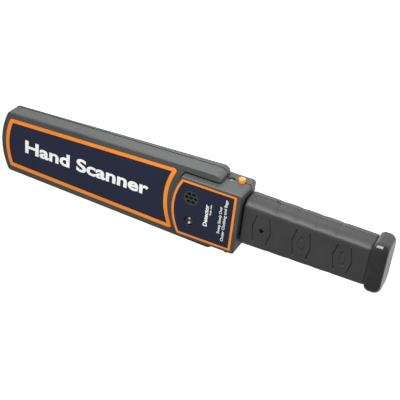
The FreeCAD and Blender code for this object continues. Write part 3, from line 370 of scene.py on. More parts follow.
FINISHES = {
    "housing_plastic": moulded("housing_plastic", HOUSING_GREY, 0.40),
    "grip_rubber": soft_touch("grip_rubber", GRIP_GREY),
    "cap_plastic": glossy("cap_plastic", (0.018, 0.0185, 0.0185), 0.12),
    "label_print": printed("label_navy", NAVY),
    # The orange and white inks glow a little: painted light.
    "label_orange": printed("label_orange", ORANGE, 0.34, glow=0.14),
    "label_white": printed("label_white", (0.90, 0.90, 0.90), 0.36, glow=0.12),
    # The second colour is the painted highlight on the button's outer end.
    "button_orange": rubber_button("button_orange", (0.86, 0.24, 0.02), (0.95, 0.38, 0.06)),
    "black_plastic": moulded("black_plastic", (0.018, 0.018, 0.019), 0.36, wear=0.25),
    "grille_plastic": moulded("grille_plastic", (0.040, 0.046, 0.040), 0.42, grain=0.3 * MM),
    "trimmer_cream": moulded("trimmer_cream", (0.50, 0.49, 0.41), 0.42, wear=0.1, swirl=0.05),
    "lamp_red": epoxy("lamp_red", (0.80, 0.76, 0.75)),
    "lamp_green": epoxy("lamp_green", (0.76, 0.80, 0.77)),
    "board_green": circuit_board("board_green"),
    "copper_wire": metal("copper_wire", (0.70, 0.27, 0.12), 0.3, (1, 1, 8), 0.3 * MM),
    "steel": metal("steel", (0.56, 0.56, 0.57), 0.3),
    "can_aluminium": metal("can_aluminium", (0.72, 0.73, 0.75), 0.34, (1, 1, 0.1)),
    "cone_paper": porous("cone_paper", (0.03, 0.03, 0.03), 0.5 * MM, 0.06 * MM),
    "foam": porous("foam", (0.05, 0.05, 0.055), 0.8 * MM, 0.3 * MM),
    "wire_sleeve": sleeve("wire_sleeve", (0.32, 0.012, 0.010), (0.015, 0.015, 0.016)),
    "battery_jacket": printed("battery_jacket", (0.10, 0.11, 0.13), 0.28),
}


SMOOTH_ANGLE = math.radians(32)


def node_slots():
    """The material slot of each CAD node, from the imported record."""
    return {part["node"]: part["material_slot"] for part in frame["record"]["subparts"]
            if part.get("material_slot")}


def dress_cad_nodes():
    """Give every carried-over CAD node its finish and smooth shading across round faces."""
    slots = node_slots()
    for name, node in frame["nodes"].items():
        node.data.materials.clear()
        node.data.materials.append(FINISHES[slots[name]])
        node.data.polygons.foreach_set("material_index", [0] * len(node.data.polygons))
        node.data.shade_smooth()
        node.data.set_sharp_from_angle(angle=SMOOTH_ANGLE)


# ---------------------------------------------------------------- meshes

def add_piece(name, mesh, body, finishes, replaced=()):
    """Put a mesh in the scene, riding on its body and standing in for the replaced nodes."""
    piece = bpy.data.objects.new(name, mesh)
    bpy.context.scene.collection.objects.link(piece)
    for finish in finishes:
        mesh.materials.append(FINISHES[finish])
    mesh.shade_smooth()
    mesh.set_sharp_from_angle(angle=SMOOTH_ANGLE)
    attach(piece, body)
    if replaced:
        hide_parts(*replaced)
    return piece


def mesh_from(bm, name):
    """Turn a closed bmesh into a mesh whose faces look outwards."""
    bmesh.ops.recalc_face_normals(bm, faces=bm.faces)
    if bm.calc_volume(signed=True) < 0:
        bmesh.ops.reverse_faces(bm, faces=bm.faces)
    mesh = bpy.data.meshes.new(name)
    bm.to_mesh(mesh)
    bm.free()
    return mesh


def arc(centre, radius, start, end, steps):
    """Points on an arc from one angle to another, in radians."""
    return [(centre[0] + radius * math.cos(start + (end - start) * step / steps),
             centre[1] + radius * math.sin(start + (end - start) * step / steps))
            for step in range(steps + 1)]


def circle(centre, radius, steps):
    return arc(centre, radius, 0.0, 2 * math.pi, steps)[:-1]


def round_corner(before, corner, after, radius, steps=8):
    """Points of a smooth bend that touches both sides where a round of that radius would."""
    before, corner, after = Vector(before), Vector(corner), Vector(after)
    to_before, to_after = (before - corner).normalized(), (after - corner).normalized()
    reach = radius / math.tan(to_before.angle(to_after) / 2)
    start, end = corner + to_before * reach, corner + to_after * reach
    shares = [step / steps for step in range(steps + 1)]
    return [tuple(start * (1 - share) ** 2 + corner * 2 * share * (1 - share) + end * share ** 2)
            for share in shares]


def rounded_outline(corners, radii):
    """A closed outline with its corners rounded. A radius of 0 keeps the corner."""
    points = []
    for index, radius in enumerate(radii):
        after = corners[(index + 1) % len(corners)]
        if radius:
            points += round_corner(corners[index - 1], corners[index], after, radius)
        else:
            points.append(corners[index])
    return points


def rounded_line(corners, radii):
    """An open line whose inner corners are rounded, each with its own radius."""
    points = [corners[0]]
    for before, corner, after, radius in zip(corners, corners[1:], corners[2:], radii):
        points += round_corner(before, corner, after, radius)
    return points + [corners[-1]]


def spaced(line, count):
    """count + 1 evenly spaced points along an open line."""
    points = np.array(line)
    lengths = np.concatenate([[0], np.cumsum(np.hypot(*np.diff(points, axis=0).T))])
    marks = np.linspace(0, lengths[-1], count + 1)
    return np.column_stack([np.interp(marks, lengths, points[:, 0]),
                            np.interp(marks, lengths, points[:, 1])])


def shifted_loop(loop, gap):
    """A closed outline moved inwards by gap. The outline runs counter-clockwise."""
    moved = []
    for index, point in enumerate(loop):
        before = Vector(point) - Vector(loop[index - 1])
        after = Vector(loop[(index + 1) % len(loop)]) - Vector(point)
        inward = Vector((-before.y, before.x)).normalized() + Vector((-after.y, after.x)).normalized()
        inward = inward / max(inward.length_squared / 2, 0.3)
        moved.append((point[0] + inward.x * gap, point[1] + inward.y * gap))
    return moved


def ring_of(bm, loop, height):
    return [bm.verts.new((x, y, height)) for x, y in loop]


def close_edges(bm, ring):
    return [bm.edges.get((a, b)) or bm.edges.new((a, b)) for a, b in zip(ring, ring[1:] + ring[:1])]


def fill_between(bm, rings, material):
    """Fill the flat area that the outer ring bounds, leaving out the other rings."""
    edges = [edge for ring in rings for edge in close_edges(bm, ring)]
    made = bmesh.ops.triangle_fill(bm, use_beauty=True, use_dissolve=False, edges=edges)
    for face in made["geom"]:
        if isinstance(face, bmesh.types.BMFace):
            face.material_index = material


def wall_between(bm, lower, upper, material):
    for index in range(len(lower)):
        after = (index + 1) % len(lower)
        face = bm.faces.new((lower[index], lower[after], upper[after], upper[index]))
        face.material_index = material


# ---------------------------------------------------------------- labels

LABEL_EASE = 0.06 * MM
INK_THICKNESS = 0.05 * MM
INK_SUNK = 0.01 * MM
ARC_STEPS = 40
PADDLE_TIP_RADIUS = 69.7 * MM
PADDLE_TIP_HALF = 28.3 * MM
PADDLE_END = TIP_X + 207.9 * MM
PADDLE_END_RADIUS = 71.2 * MM
PADDLE_END_HALF = 35.0 * MM
PADDLE_END_BULGE = 9.2 * MM
PADDLE_CORNER = 3.6 * MM
PADDLE_BORDER = 4.2 * MM
CONTROL_TIP_RADIUS = 60.7 * MM
CONTROL_CORNER = 0.8 * MM
CONTROL_BORDER = 2.4 * MM
GRILLE_GAP = 0.1 * MM
LAMP_HOLDER_RIM = 1.6 * MM
# words, distance before the label's middle, place across, letter height, line length, letter weight
PADDLE_WORDS = ("Hand Scanner", 2.0 * MM, 1.0 * MM, 15.4 * MM, 147 * MM, 0.03)
# the same, but with the distance before the label's end
PANEL_WORDS = [
    ("Sweep Slowly Over", 14.3 * MM, 0.0, 3.9 * MM, 31 * MM, 0.012),
    ("Outer Clothing and Bags", 9.5 * MM, 0.8 * MM, 3.9 * MM, 47.5 * MM, 0.012),
    ("Detector", 29.4 * MM, 0.0, 4.4 * MM, 25 * MM, 0.03),
    ("Ready  Alert", 24.8 * MM, 7.8 * MM, 2.2 * MM, 12 * MM, 0.02),
]


def plate_outline(tip, tip_radius, tip_half, end, end_half, end_radius, corner):
    """An arc at the tip, straight sides and an end that is straight or bulges to the tip.

    tip and end are the places where the tip's arc and the end cross the centre plane.
    """
    def arc_x(middle, radius, half):
        return middle + radius - math.sqrt(radius ** 2 - half ** 2)

    def bow(apex, radius, half, upwards):
        steps = [half * (2 * step / ARC_STEPS - 1) for step in range(ARC_STEPS + 1)]
        places = [(arc_x(apex, radius, y), y) for y in steps]
        return places if upwards else places[::-1]

    tip_run = bow(tip, tip_radius, tip_half, False)
    if end_radius:
        end_run = bow(end, end_radius, end_half, True)
    else:
        end_run = [(end, -end_half), (end, end_half)]
    if corner == 0:
        return tip_run + end_run
    outline = tip_run[1:] + end_run + tip_run[:1]
    sharp = (tip_run[0], tip_run[-1], end_run[0], end_run[-1])
    return rounded_outline(outline, [corner if place in sharp else 0 for place in outline])


def printed_sheet(name, node, border, holes, outline_of):
    """A label: an orange border round a navy field, with any openings through both."""
    low, high = (corner.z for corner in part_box(node))
    outer = outline_of(0.0)
    inner = outline_of(border)
    bm = bmesh.new()
    bottom = ring_of(bm, outer, low)
    side = ring_of(bm, outer, high - LABEL_EASE)
    top = ring_of(bm, shifted_loop(outer, LABEL_EASE), high)
    wall_between(bm, bottom, side, 1)
    wall_between(bm, side, top, 1)
    line = ring_of(bm, inner, high)
    hole_tops = [ring_of(bm, hole, high) for hole in holes]
    hole_bottoms = [ring_of(bm, hole, low) for hole in holes]
    for upper, lower in zip(hole_tops, hole_bottoms):
        wall_between(bm, upper, lower, 0)
    fill_between(bm, [top, line], 1)
    fill_between(bm, [line] + hole_tops, 0)
    fill_between(bm, [bottom] + hole_bottoms, 0)
    add_piece(name, mesh_from(bm, name), "wand", ["label_print", "label_orange"],
              [node])


def lettering(name, words, centre, height, turn, length, weight):
    """Raised ink letters, scaled to a given length and height about their centre."""
    curve = bpy.data.curves.new(name, "FONT")
    curve.body = words
    curve.offset = weight
    curve.resolution_u = 6
    curve.extrude = 0.5
    draft = bpy.data.objects.new(name + "_draft", curve)
    bpy.context.scene.collection.objects.link(draft)
    bpy.context.view_layer.update()
    drawn = draft.evaluated_get(bpy.context.evaluated_depsgraph_get())
    mesh = bpy.data.meshes.new_from_object(drawn)
    bpy.data.objects.remove(draft)
    places = np.zeros(len(mesh.vertices) * 3)
    mesh.vertices.foreach_get("co", places)
    places = places.reshape(-1, 3)
    low, high = places.min(0), places.max(0)
    sized = (places - (low + high) / 2) / (high - low) * (length, height, INK_THICKNESS)
    across, up = math.cos(turn), math.sin(turn)
    turned = np.column_stack([sized[:, 0] * across - sized[:, 1] * up,
                              sized[:, 0] * up + sized[:, 1] * across, sized[:, 2]])
    mesh.vertices.foreach_set("co", (turned + centre).ravel())
    bm = bmesh.new()
    bm.from_mesh(mesh)
    bmesh.ops.remove_doubles(bm, verts=bm.verts, dist=0.002 * MM)
    bm.to_mesh(mesh)
    bm.free()
    mesh.materials.clear()
    add_piece(name, mesh, "wand", ["label_white"])


def middle_of(node):
    """The middle of a node as seen from above."""
    low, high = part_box(node)
    return (low.x + high.x) / 2, (low.y + high.y) / 2


def build_paddle_label():
    low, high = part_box("paddle_label")
    slope = (PADDLE_END_HALF - PADDLE_TIP_HALF) / (PADDLE_END - low.x)

    def outline(inset):
        side_inset = inset * (1 + slope)
        return plate_outline(low.x + inset, PADDLE_TIP_RADIUS - inset, PADDLE_TIP_HALF - side_inset,
                             PADDLE_END - PADDLE_END_BULGE - inset, PADDLE_END_HALF - side_inset,
                             PADDLE_END_RADIUS + inset, 0 if inset else PADDLE_CORNER)
    printed_sheet("paddle_print", "paddle_label", PADDLE_BORDER, [], outline)

    words, before_middle, across, height, length, weight = PADDLE_WORDS
    centre = ((low.x + high.x) / 2 - before_middle, across, high.z + INK_THICKNESS / 2 - INK_SUNK)
    lettering("paddle_lettering", words, centre, height, 0.0, length, weight)


def build_control_label():
    low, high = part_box("control_label")

    def outline(inset):
        return plate_outline(low.x + inset, CONTROL_TIP_RADIUS - inset, high.y - inset,
                             high.x - inset, high.y - inset, 0, 0 if inset else CONTROL_CORNER)
    grille_low, grille_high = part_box("speaker_grille")
    grille_radius = (grille_high.x - grille_low.x) / 2 + GRILLE_GAP
    holder_low, holder_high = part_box("lamp_holder")
    window_radius = (holder_high.x - holder_low.x) / 2 - LAMP_HOLDER_RIM
    holes = [circle(middle_of("speaker_grille"), grille_radius, 64),
             circle(middle_of("lamp_holder"), window_radius, 48)]
    printed_sheet("control_print", "control_label", CONTROL_BORDER, holes, outline)

    for number, (words, before_end, across, height, length, weight) in enumerate(PANEL_WORDS, start=1):
        centre = (high.x - before_end, across, high.z + INK_THICKNESS / 2 - INK_SUNK)
        lettering(f"control_words_{number}", words, centre, height, math.pi / 2, length, weight)


# ---------------------------------------------------------------- grip

GRIP_LINE = 0.55 * MM
GRIP_WALL = 2.6 * MM
GRIP_RIB = 2.4 * MM
SEAM_EASE = 0.35 * MM
SCREW_RIB = 3.4 * MM
TUBE_HALF = 16.6 * MM
TUBE_GAP = 0.1 * MM
PAD_PITCH = 41.2 * MM
FIRST_PAD = TIP_X + 301.5 * MM
PAD_COUNT = 3
PAD_GROOVE = [(-6.5 * MM, 14.7 * MM), (-9.7 * MM, 1.0 * MM), (-6.5 * MM, -14.7 * MM)]
GROOVE_DEPTH = 1.1 * MM
GROOVE_REACH = 1.0 * MM
LIP_HEIGHT = 0.18 * MM
LIP_PLACE = 1.6 * MM
LIP_REACH = 1.1 * MM
OVAL_WIDTH = 0.45
CROWN_HEIGHT = 0.5 * MM
CROWN_REACH = 18 * MM
RING_RADIUS = 7.0 * MM
RING_REACH = 2.6 * MM
DIMPLE_REACH = 6.5 * MM
DIMPLE_DEPTH = 0.9 * MM
SCREW_DIMPLE_DEPTH = 0.35 * MM
SCALLOP_PITCH = 20.4 * MM
FIRST_SCALLOP = TIP_X + 312.0 * MM
SCALLOP_COUNT = 4
SCALLOP_DEPTH = 0.55 * MM
SCALLOP_REACH = 6.5 * MM
CREASE_REACH = 1.6 * MM
SCREW_HOLE = 1.6 * MM
SCREW_DEPTH = 3.2 * MM
SLOT_START = TIP_X + 306.5 * MM
SLOT_END = TIP_X + 313.5 * MM
SLOT_HALF = 0.9 * MM
SLOT_DEPTH = 1.6 * MM
GRIP_TAPER = 0.07
GRIP_END_DROP = 0.5 * MM
GRIP_END_REACH = 1.2 * MM
FACE_FADE = 4


def smooth_pulse(distance, half_width):
    """1 at zero distance, falling smoothly to 0 at half_width."""
    share = np.clip(np.abs(distance) / half_width, 0, 1)
    return (1 - share ** 2) ** 2


def distance_to_line(x, y, points):
    """How far each place is from an open line through the points."""
    best = np.full(x.shape, 1.0)
    for (x0, y0), (x1, y1) in zip(points, points[1:]):
        along = np.clip(((x - x0) * (x1 - x0) + (y - y0) * (y1 - y0))
                        / ((x1 - x0) ** 2 + (y1 - y0) ** 2), 0, 1)
        best = np.minimum(best, np.hypot(x - x0 - along * (x1 - x0), y - y0 - along * (y1 - y0)))
    return best


def pad_relief(x, y):
    """Height of the thumb pads' grooves, lips and dimples over a flat face."""
    relief = np.zeros_like(x)
    for number in range(PAD_COUNT):
        across = x - FIRST_PAD - PAD_PITCH * number
        for side in (1, -1):
            gap = distance_to_line(across, y, [(side * u, side * v) for u, v in PAD_GROOVE])
            relief -= GROOVE_DEPTH * smooth_pulse(gap, GROOVE_REACH)
            relief += LIP_HEIGHT * smooth_pulse(gap - LIP_PLACE, LIP_REACH)
        oval = np.hypot(across / OVAL_WIDTH, y)
        relief += CROWN_HEIGHT * smooth_pulse(oval, CROWN_REACH)
        depth = DIMPLE_DEPTH if number else SCREW_DIMPLE_DEPTH
        relief -= depth * smooth_pulse(oval - RING_RADIUS, RING_REACH)
        relief -= depth / 2 * smooth_pulse(oval, DIMPLE_REACH)
    return relief


def scallop(x):
    """How far the grip's sides draw in between the fingers, with a crease in each dip."""
    inset = np.zeros_like(x)
    for number in range(SCALLOP_COUNT):
        across = x - FIRST_SCALLOP - SCALLOP_PITCH * number
        inset += SCALLOP_DEPTH * smooth_pulse(across, SCALLOP_REACH)
        inset += SCALLOP_DEPTH * smooth_pulse(across, CREASE_REACH)
    return inset


def half_section(half, shoulder_half, shoulder, face_half, face, seam):
    """Corners of one half of the grip, across and up from the parting plane."""
    eased = seam + math.copysign(SEAM_EASE, face)
    return [(-half + SEAM_EASE, seam), (-half, eased), (-shoulder_half, shoulder), (-face_half, face),
            (face_half, face), (shoulder_half, shoulder), (half, eased), (half - SEAM_EASE, seam)]


def tube_section(half, reach, seam, count):
    """Points round the battery tube that match the outer section's points one to one."""
    side = count // 5
    upper = count - 2 * side
    left = np.column_stack([np.full(side, -half), np.linspace(seam, reach, side, endpoint=False)])
    top = np.column_stack([np.linspace(-half, half, upper + 1), np.full(upper + 1, reach)])
    right = np.column_stack([np.full(side, half), np.linspace(reach, seam, side + 1)[1:]])
    return np.vstack([left, top, right])


def grip_half(name, node, sign, dims):
    """One moulded half of the grip, lofted along X, with its reliefs on the outer skin.

    sign is 1 for the half above the parting plane and -1 for the half below it.
    """
    low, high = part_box(node)
    tube_low, tube_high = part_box("battery_tube")
    half, face_half, shoulder = high.y, dims["face_half"], dims["shoulder"] * sign
    shoulder_half = half - dims["draft"]
    face = (high.z - PARTING_Z) if sign > 0 else (low.z - PARTING_Z)
    seam = (low.z - PARTING_Z) if sign > 0 else (high.z - PARTING_Z)
    corners = half_section(half, shoulder_half, shoulder, face_half, face, seam)
    count = round(dims["girth"] / GRIP_LINE)
    rounds = [SEAM_EASE, dims["shoulder_round"], dims["face_round"]]
    outer = spaced(rounded_line(corners, rounds + rounds[::-1]), count)
    inner_corners = half_section(half - GRIP_WALL, shoulder_half - GRIP_WALL,
                                 shoulder - sign * GRIP_WALL / 2, face_half - GRIP_WALL / 2,
                                 face - sign * GRIP_WALL, seam)
    cavity = spaced(inner_corners, count)
    reach = (tube_high.z - PARTING_Z) if sign > 0 else (tube_low.z - PARTING_Z)
    tube = tube_section(TUBE_HALF, reach + sign * TUBE_GAP, seam, count)

    tangent = np.gradient(outer, axis=0)
    normal = np.column_stack([-tangent[:, 1], tangent[:, 0]]) * sign
    normal /= np.linalg.norm(normal, axis=1)[:, None]
    on_side = np.clip((np.abs(outer[:, 0]) - face_half) / (half - face_half), 0, 1)
    on_face = np.clip(1 - on_side * FACE_FADE, 0, 1)

    length = high.x - low.x
    stations = np.linspace(0, length, round(length / GRIP_LINE) + 1)
    rings = np.zeros((len(stations), 2 * (count + 1), 3))
    reliefs = np.zeros((len(stations), 2 * (count + 1)))
    for number, along in enumerate(stations):
        spot = low.x + along
        places = np.full(count + 1, spot)
        pads = pad_relief(places, outer[:, 0]) * on_face if dims["pads"] else 0 * places
        ends = min(along, length - along)
        lift = pads - GRIP_END_DROP * smooth_pulse(ends, GRIP_END_REACH)
        from_screw = np.hypot(spot - FIRST_PAD, outer[:, 0])
        lift = np.where(from_screw < SCREW_HOLE, -SCREW_DEPTH, lift)
        skin = outer + normal * lift[:, None]
        skin[:, 0] -= np.sign(outer[:, 0]) * scallop(places) * on_side
        if SLOT_START < spot < SLOT_END:
            in_slot = (outer[:, 0] > face_half) & (np.abs(outer[:, 1] - seam) < SLOT_HALF)
            skin[in_slot, 0] = half - SLOT_DEPTH
        width = 1 - GRIP_TAPER * along / length
        skin[:, 0] *= width
        solid = ends < GRIP_RIB or abs(spot - FIRST_PAD) < SCREW_RIB
        inside = tube if solid else cavity * (width, 1)
        ring = np.vstack([skin, inside[::-1]])
        rings[number] = np.column_stack([np.full(len(ring), spot), ring[:, 0],
                                         ring[:, 1] + PARTING_Z])
        # The screw hole and its rim are marked with the hole's depth, so the finish paints shade there.
        dark = from_screw < SCREW_HOLE + GRIP_LINE
        reliefs[number, :count + 1] = np.where(dark, -SCREW_DEPTH, pads) / MM
    mesh = loft(name, rings, count, reliefs)
    add_piece(name, mesh, "wand", ["grip_rubber"], [node])


def loft(name, rings, count, reliefs):
    """A closed skin over rings whose points fold back: point j faces point 2 count + 1 - j.

    The reliefs, in mm, are kept at the points for the finish to read.
    """
    stations, size = rings.shape[:2]
    index = np.arange(stations * size).reshape(stations, size)
    step = np.roll(index, -1, axis=1)
    sides = np.stack([index[:-1], step[:-1], step[1:], index[1:]], axis=-1).reshape(-1, 4)
    over = np.arange(count)
    back = size - 1 - over
    first = np.stack([index[0, over], index[0, over + 1], index[0, back - 1], index[0, back]], axis=-1)
    last = np.stack([index[-1, over], index[-1, back], index[-1, back - 1], index[-1, over + 1]],
                    axis=-1)
    bm = bmesh.new()
    layer = bm.verts.layers.float.new(RELIEF)
    points = [bm.verts.new(point) for point in rings.reshape(-1, 3)]
    for point, relief in zip(points, reliefs.ravel()):
        point[layer] = relief
    for face in np.vstack([sides, first, last]):
        bm.faces.new([points[corner] for corner in face])
    return mesh_from(bm, name)


def box_mesh(low, high):
    """A block to cut with."""
    bm = bmesh.new()
    made = bmesh.ops.create_cube(bm, size=1)
    for point in made["verts"]:
        point.co = Vector([low[axis] if point.co[axis] < 0 else high[axis] for axis in range(3)])
    return mesh_from(bm, "cutter")


def cut(mesh, cutters):
    """Take the cutter meshes away from a mesh."""
    target = bpy.data.objects.new("cut_target", mesh)
    bpy.context.scene.collection.objects.link(target)
    made = []
    for cutter in cutters:
        tool = bpy.data.objects.new("cut_tool", cutter)
        bpy.context.scene.collection.objects.link(tool)
        made.append(tool)
        difference = target.modifiers.new("cut", "BOOLEAN")
        difference.operation = "DIFFERENCE"
        difference.solver = "EXACT"
        difference.object = tool
    bpy.context.view_layer.update()
    result = bpy.data.meshes.new_from_object(
        target.evaluated_get(bpy.context.evaluated_depsgraph_get()))
    bm = bmesh.new()
    bm.from_mesh(result)
    bm.to_mesh(mesh)
    bm.free()
    for item in made + [target]:
        bpy.data.objects.remove(item)
    bpy.data.meshes.remove(result)


def build_grip():
    grip_half("grip_front_skin", "front_grip", 1,
              {"face_half": 21.1 * MM, "shoulder": 12.2 * MM, "draft": 0.3 * MM,
               "shoulder_round": 12 * MM, "face_round": 5.5 * MM, "girth": 80 * MM, "pads": True})
    grip_half("grip_rear_skin", "rear_grip", -1,
              {"face_half": 18.5 * MM, "shoulder": 8.0 * MM, "draft": 1.6 * MM,
               "shoulder_round": 6 * MM, "face_round": 3 * MM, "girth": 71 * MM, "pads": False})


# ---------------------------------------------------------------- end cap

CAP_LINE = 0.35 * MM
CAP_END_ROUND = 4.2 * MM
CAP_END_REACH = 7.5 * MM
CAP_SIDE_ROUND = 8.5 * MM
CAP_START_ROUND = 6.0 * MM
CAP_LIP_ROUND = 1.6 * MM
CAP_SLACK = 0.15 * MM
CAP_LIP = 1.65 * MM
CAP_RAIL_ROOM = 3.0 * MM
CAP_END_WALL = 4.0 * MM
CAP_ROOF = 10 * MM
CAP_CORNER_STEPS = 12
LEAST_FLAT = 0.1 * MM
CUT_PAST = 1 * MM
CUT_OVERLAP = 0.01 * MM


def round_in(gap, radius, reach=None):
    """How far a quarter ellipse, or a quarter round, has drawn in at a gap before its end."""
    share = max(0.0, 1 - gap / (reach or radius))
    return radius * (1 - math.sqrt(1 - share ** 2))


def cap_section(half, low, high, radius):
    """A rectangle with round corners, across and up, the same number of points for any size."""
    radius = min(radius, half - LEAST_FLAT, (high - low) / 2 - LEAST_FLAT)
    points = []
    for across, up, start in ((1, 1, 0), (-1, 1, 90), (-1, -1, 180), (1, -1, 270)):
        middle = (across * (half - radius), (high if up > 0 else low) - up * radius)
        points += arc(middle, radius, math.radians(start), math.radians(start + 90),
                      CAP_CORNER_STEPS)
    return points


def build_cap():
    """The end cap: a bar with rounded sides and ends, hollow for the tube and its rails.

    The hollow is open at the bottom, so that the cap can slide up off the rails.
    """
    low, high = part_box("battery_cap")
    tube_low, tube_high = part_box("battery_tube")
    length = high.x - low.x
    steps = round(length / CAP_LINE)
    bm = bmesh.new()
    rings = []
    for step in range(steps + 1):
        gap = length * (1 - math.cos(math.pi * step / steps)) / 2
        end = round_in(gap, CAP_END_ROUND, CAP_END_REACH)
        lip = round_in(length - gap, CAP_LIP_ROUND)
        half = high.y - end - round_in(length - gap, CAP_START_ROUND)
        top = high.z - end - lip
        bottom = low.z + end + lip
        section = cap_section(half, bottom, top, CAP_SIDE_ROUND)
        rings.append([bm.verts.new((high.x - gap, y, z)) for y, z in section])
    for lower, upper in zip(rings, rings[1:]):
        wall_between(bm, lower, upper, 0)
    bm.faces.new(rings[0])
    bm.faces.new(rings[-1])
    mesh = mesh_from(bm, "cap_skin")
    roof = tube_high.z + CAP_SLACK
    lip = low.x + CAP_LIP
    rails = lip + CAP_RAIL_ROOM
    below = low.z - CUT_PAST
    tube_half = TUBE_HALF + CAP_SLACK
    rail_half = tube_high.y + CAP_SLACK
    mouth = box_mesh((low.x - CUT_PAST, -tube_half, below), (lip + CUT_OVERLAP, tube_half, roof))
    rail_room = box_mesh((lip, -rail_half, below), (rails, rail_half, roof))
    hollow = box_mesh((rails - CUT_OVERLAP, -tube_half, tube_low.z),
                      (high.x - CAP_END_WALL, tube_half, high.z - CAP_ROOF))
    cut(mesh, [mouth, rail_room, hollow])
    add_piece("cap_skin", mesh, "cap", ["cap_plastic"], ["battery_cap"])


# ---------------------------------------------------------------- turned pieces

def turned_mesh(name, profile, steps=48):
    """A closed solid turned about +Z from (radius, height) points that start and end on the axis."""
    bm = bmesh.new()
    rings = []
    for radius, height in profile:
        if radius == 0:
            rings.append([bm.verts.new((0, 0, height))])
        else:
            rings.append(ring_of(bm, circle((0, 0), radius, steps), height))
    for lower, upper in zip(rings, rings[1:]):
        for index in range(steps):
            after = (index + 1) % steps
            corners = [lower[index % len(lower)], lower[after % len(lower)],
                       upper[after % len(upper)], upper[index % len(upper)]]
            distinct = list(dict.fromkeys(corners))
            if len(distinct) > 2:
                bm.faces.new(distinct)
    return mesh_from(bm, name)


def dome(radius, start, reach, steps=8):
    """Profile points of a rounded end: out at radius, then in to the axis."""
    turns = [math.pi / 2 * step / steps for step in range(steps)]
    sides = [(radius * math.cos(turn), start + reach * math.sin(turn)) for turn in turns]
    return sides + [(0, start + reach)]


def place_mesh(mesh, centre, turn=(0, 0, 0)):
    """Turn a mesh about the origin and then move it."""
    mesh.transform(Euler(turn).to_matrix().to_4x4())
    for vertex in mesh.vertices:
        vertex.co += Vector(centre)


LAMP_FLANGE = 0.4 * MM
LAMP_FLANGE_DEPTH = 1.0 * MM
LAMP_FLANGE_EASE = 0.05 * MM
LAMP_HEIGHT = 4.3 * MM
BUTTON_FLANGE = 1.0 * MM
BUTTON_FLANGE_DEPTH = 1.6 * MM
BUTTON_FLANGE_EASE = 0.1 * MM
BUTTON_ROUND = 1.1 * MM
BUTTON_ROUND_REACH = 0.9 * MM
BUTTON_CROWN = 0.05 * MM
BUTTON_CROWN_SHARE = 0.4
BUTTON_TURNS = (0.3, 0.6, 0.9, 1.2, math.pi / 2)


def build_lamps():
    """Each lamp is a flanged lens with a domed end. Its leads are hidden and are left out."""
    for node, finish in (("red_lamp", "lamp_red"), ("green_lamp", "lamp_green")):
        low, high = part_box(node)
        flange = (high.y - low.y) / 2
        radius = flange - LAMP_FLANGE
        foot = high.z - LAMP_HEIGHT
        flange_top = foot + LAMP_FLANGE_DEPTH
        profile = [(0, foot), (flange, foot), (flange, flange_top),
                   (radius, flange_top + LAMP_FLANGE_EASE)]
        lens = turned_mesh(node + "_lens", profile + dome(radius, high.z - radius, radius))
        place_mesh(lens, (*middle_of(node), 0))
        add_piece(node + "_lens", lens, "wand", [finish], [node])


def build_button():
    """The push button: a flange that stays inside, and a round end with soft edges."""
    low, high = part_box("push_button")
    flange = (high.x - low.x) / 2
    radius = flange - BUTTON_FLANGE
    reach = high.y - low.y
    shoulder = reach - BUTTON_ROUND
    profile = [(0, 0), (flange, 0), (flange, BUTTON_FLANGE_DEPTH),
               (radius, BUTTON_FLANGE_DEPTH + BUTTON_FLANGE_EASE), (radius, shoulder)]
    profile += [(radius - BUTTON_ROUND * (1 - math.cos(turn)),
                 shoulder + BUTTON_ROUND_REACH * math.sin(turn)) for turn in BUTTON_TURNS]
    profile += [(radius * BUTTON_CROWN_SHARE, reach - BUTTON_CROWN), (0, reach)]
    mesh = turned_mesh("button_cap", profile)
    place_mesh(mesh, ((low.x + high.x) / 2, low.y, (low.z + high.z) / 2), (-math.pi / 2, 0, 0))
    add_piece("button_cap", mesh, "button", ["button_orange"], ["push_button"])


SPRING_WIRE = 0.2 * MM
SPRING_TURNS = 3
SPRING_STEPS = 24
WIRE_SIDES = 8


def build_spring():
    """The return spring behind the button's flange. It rides on the wand at its full length and is not
    flattened as the button goes in.
    """
    low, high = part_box("button_spring")
    length = high.y - low.y
    coil_radius = (high.x - low.x) / 2 - SPRING_WIRE
    rise = length - 2 * SPRING_WIRE
    start = Vector(((low.x + high.x) / 2, low.y + SPRING_WIRE, (low.z + high.z) / 2))
    steps = SPRING_TURNS * SPRING_STEPS
    bm = bmesh.new()
    rings = []
    for step in range(steps + 1):
        turn = 2 * math.pi * step / SPRING_STEPS
        outward = Vector((math.cos(turn), 0, math.sin(turn)))
        along = Vector((0, 1, 0))
        middle = start + outward * coil_radius + along * (rise * step / steps)
        rings.append([bm.verts.new(middle + outward * out + along * up)
                      for out, up in circle((0, 0), SPRING_WIRE, WIRE_SIDES)])
    for lower, upper in zip(rings, rings[1:]):
        wall_between(bm, lower, upper, 0)
    for end in (rings[0], rings[-1]):
        bm.faces.new(end)
    mesh = mesh_from(bm, "button_return_spring")
    spring = add_piece("button_return_spring", mesh, "wand", ["steel"], ["button_spring"])
    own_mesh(spring)


# ---------------------------------------------------------------- studio

CAMERA_PLACE = (0.32348, 0.51754, 0.77385)
CAMERA_TURN = (-29.733, 25.650, 6.466)
CAMERA_LENS = 87.396
CAMERA_SENSOR = 36.0
CAMERA_NEAR = 0.05
FLOOR_HALF = 4.0
FLOOR_GAP = 0.1 * MM
FLOOR_GLOW_ON_WAND = 0.22
FLOOR_GLOW_SEEN = 0.95
SKY_STRENGTH = 0.32
SOFTBOX_PLACE = (0.045, 0.43, 0.27)
SOFTBOX_AIM = (0.02, 0, 0)
SOFTBOX_SIZE = (0.45, 0.25)
SOFTBOX_POWER = 3.6


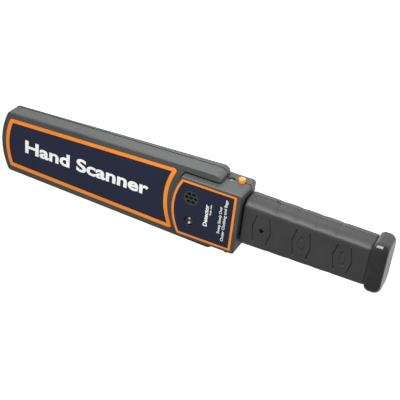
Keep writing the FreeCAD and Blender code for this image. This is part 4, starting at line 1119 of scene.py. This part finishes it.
def build_camera():
    """A camera at the photograph's viewing angle."""
    data = bpy.data.cameras.new("camera")
    data.lens = CAMERA_LENS
    data.sensor_width = CAMERA_SENSOR
    data.clip_start = CAMERA_NEAR
    camera = bpy.data.objects.new("camera", data)
    camera.location = CAMERA_PLACE
    camera.rotation_euler = [math.radians(turn) for turn in CAMERA_TURN]
    bpy.context.scene.collection.objects.link(camera)
    bpy.context.scene.camera = camera


def build_floor():
    """A pale floor that looks nearly white but throws less light on to the wand."""
    finish = Finish("floor_pale")
    grain = finish.noise(0.15, 3.0)
    seen = finish.node("ShaderNodeLightPath").outputs["Is Camera Ray"]
    base = finish.mix(finish.span(grain, 0.3, 0.7), (0.86, 0.86, 0.86, 1), (0.9, 0.9, 0.9, 1))
    glow = finish.span(seen, 0.0, 1.0, FLOOR_GLOW_ON_WAND, FLOOR_GLOW_SEEN)
    finish.set(Base_Color=base, Roughness=0.8, Emission_Color=(1, 1, 1, 1), Emission_Strength=glow)
    mesh = bpy.data.meshes.new("floor")
    corners = [(x * FLOOR_HALF, y * FLOOR_HALF, 0) for x, y in ((-1, -1), (1, -1), (1, 1), (-1, 1))]
    mesh.from_pydata(corners, [], [(0, 1, 2, 3)])
    mesh.materials.append(finish.material)
    floor = bpy.data.objects.new("floor", mesh)
    floor.location.z = CAD_LOW.z - FLOOR_GAP
    bpy.context.scene.collection.objects.link(floor)


def build_softbox():
    """A rectangular light on the button's side, which the camera doesn't see."""
    data = bpy.data.lights.new("key", "AREA")
    data.shape = "RECTANGLE"
    data.size, data.size_y = SOFTBOX_SIZE
    data.energy = SOFTBOX_POWER
    light = bpy.data.objects.new("key", data)
    light.location = SOFTBOX_PLACE
    towards = Vector(SOFTBOX_AIM) - Vector(SOFTBOX_PLACE)
    light.rotation_euler = towards.to_track_quat("-Z", "Y").to_euler()
    light.visible_camera = False
    bpy.context.scene.collection.objects.link(light)


def build_sky():
    """Even white light from all round, shown without a film look."""
    world = bpy.data.worlds.new("studio")
    world.use_nodes = True
    background = world.node_tree.nodes["Background"]
    background.inputs["Color"].default_value = (1, 1, 1, 1)
    background.inputs["Strength"].default_value = SKY_STRENGTH
    bpy.context.scene.world = world
    bpy.context.scene.view_settings.view_transform = "Standard"


dress_cad_nodes()
build_paddle_label()
build_control_label()
build_grip()
build_cap()
build_lamps()
build_button()
build_spring()
build_camera()
build_floor()
build_softbox()
build_sky()
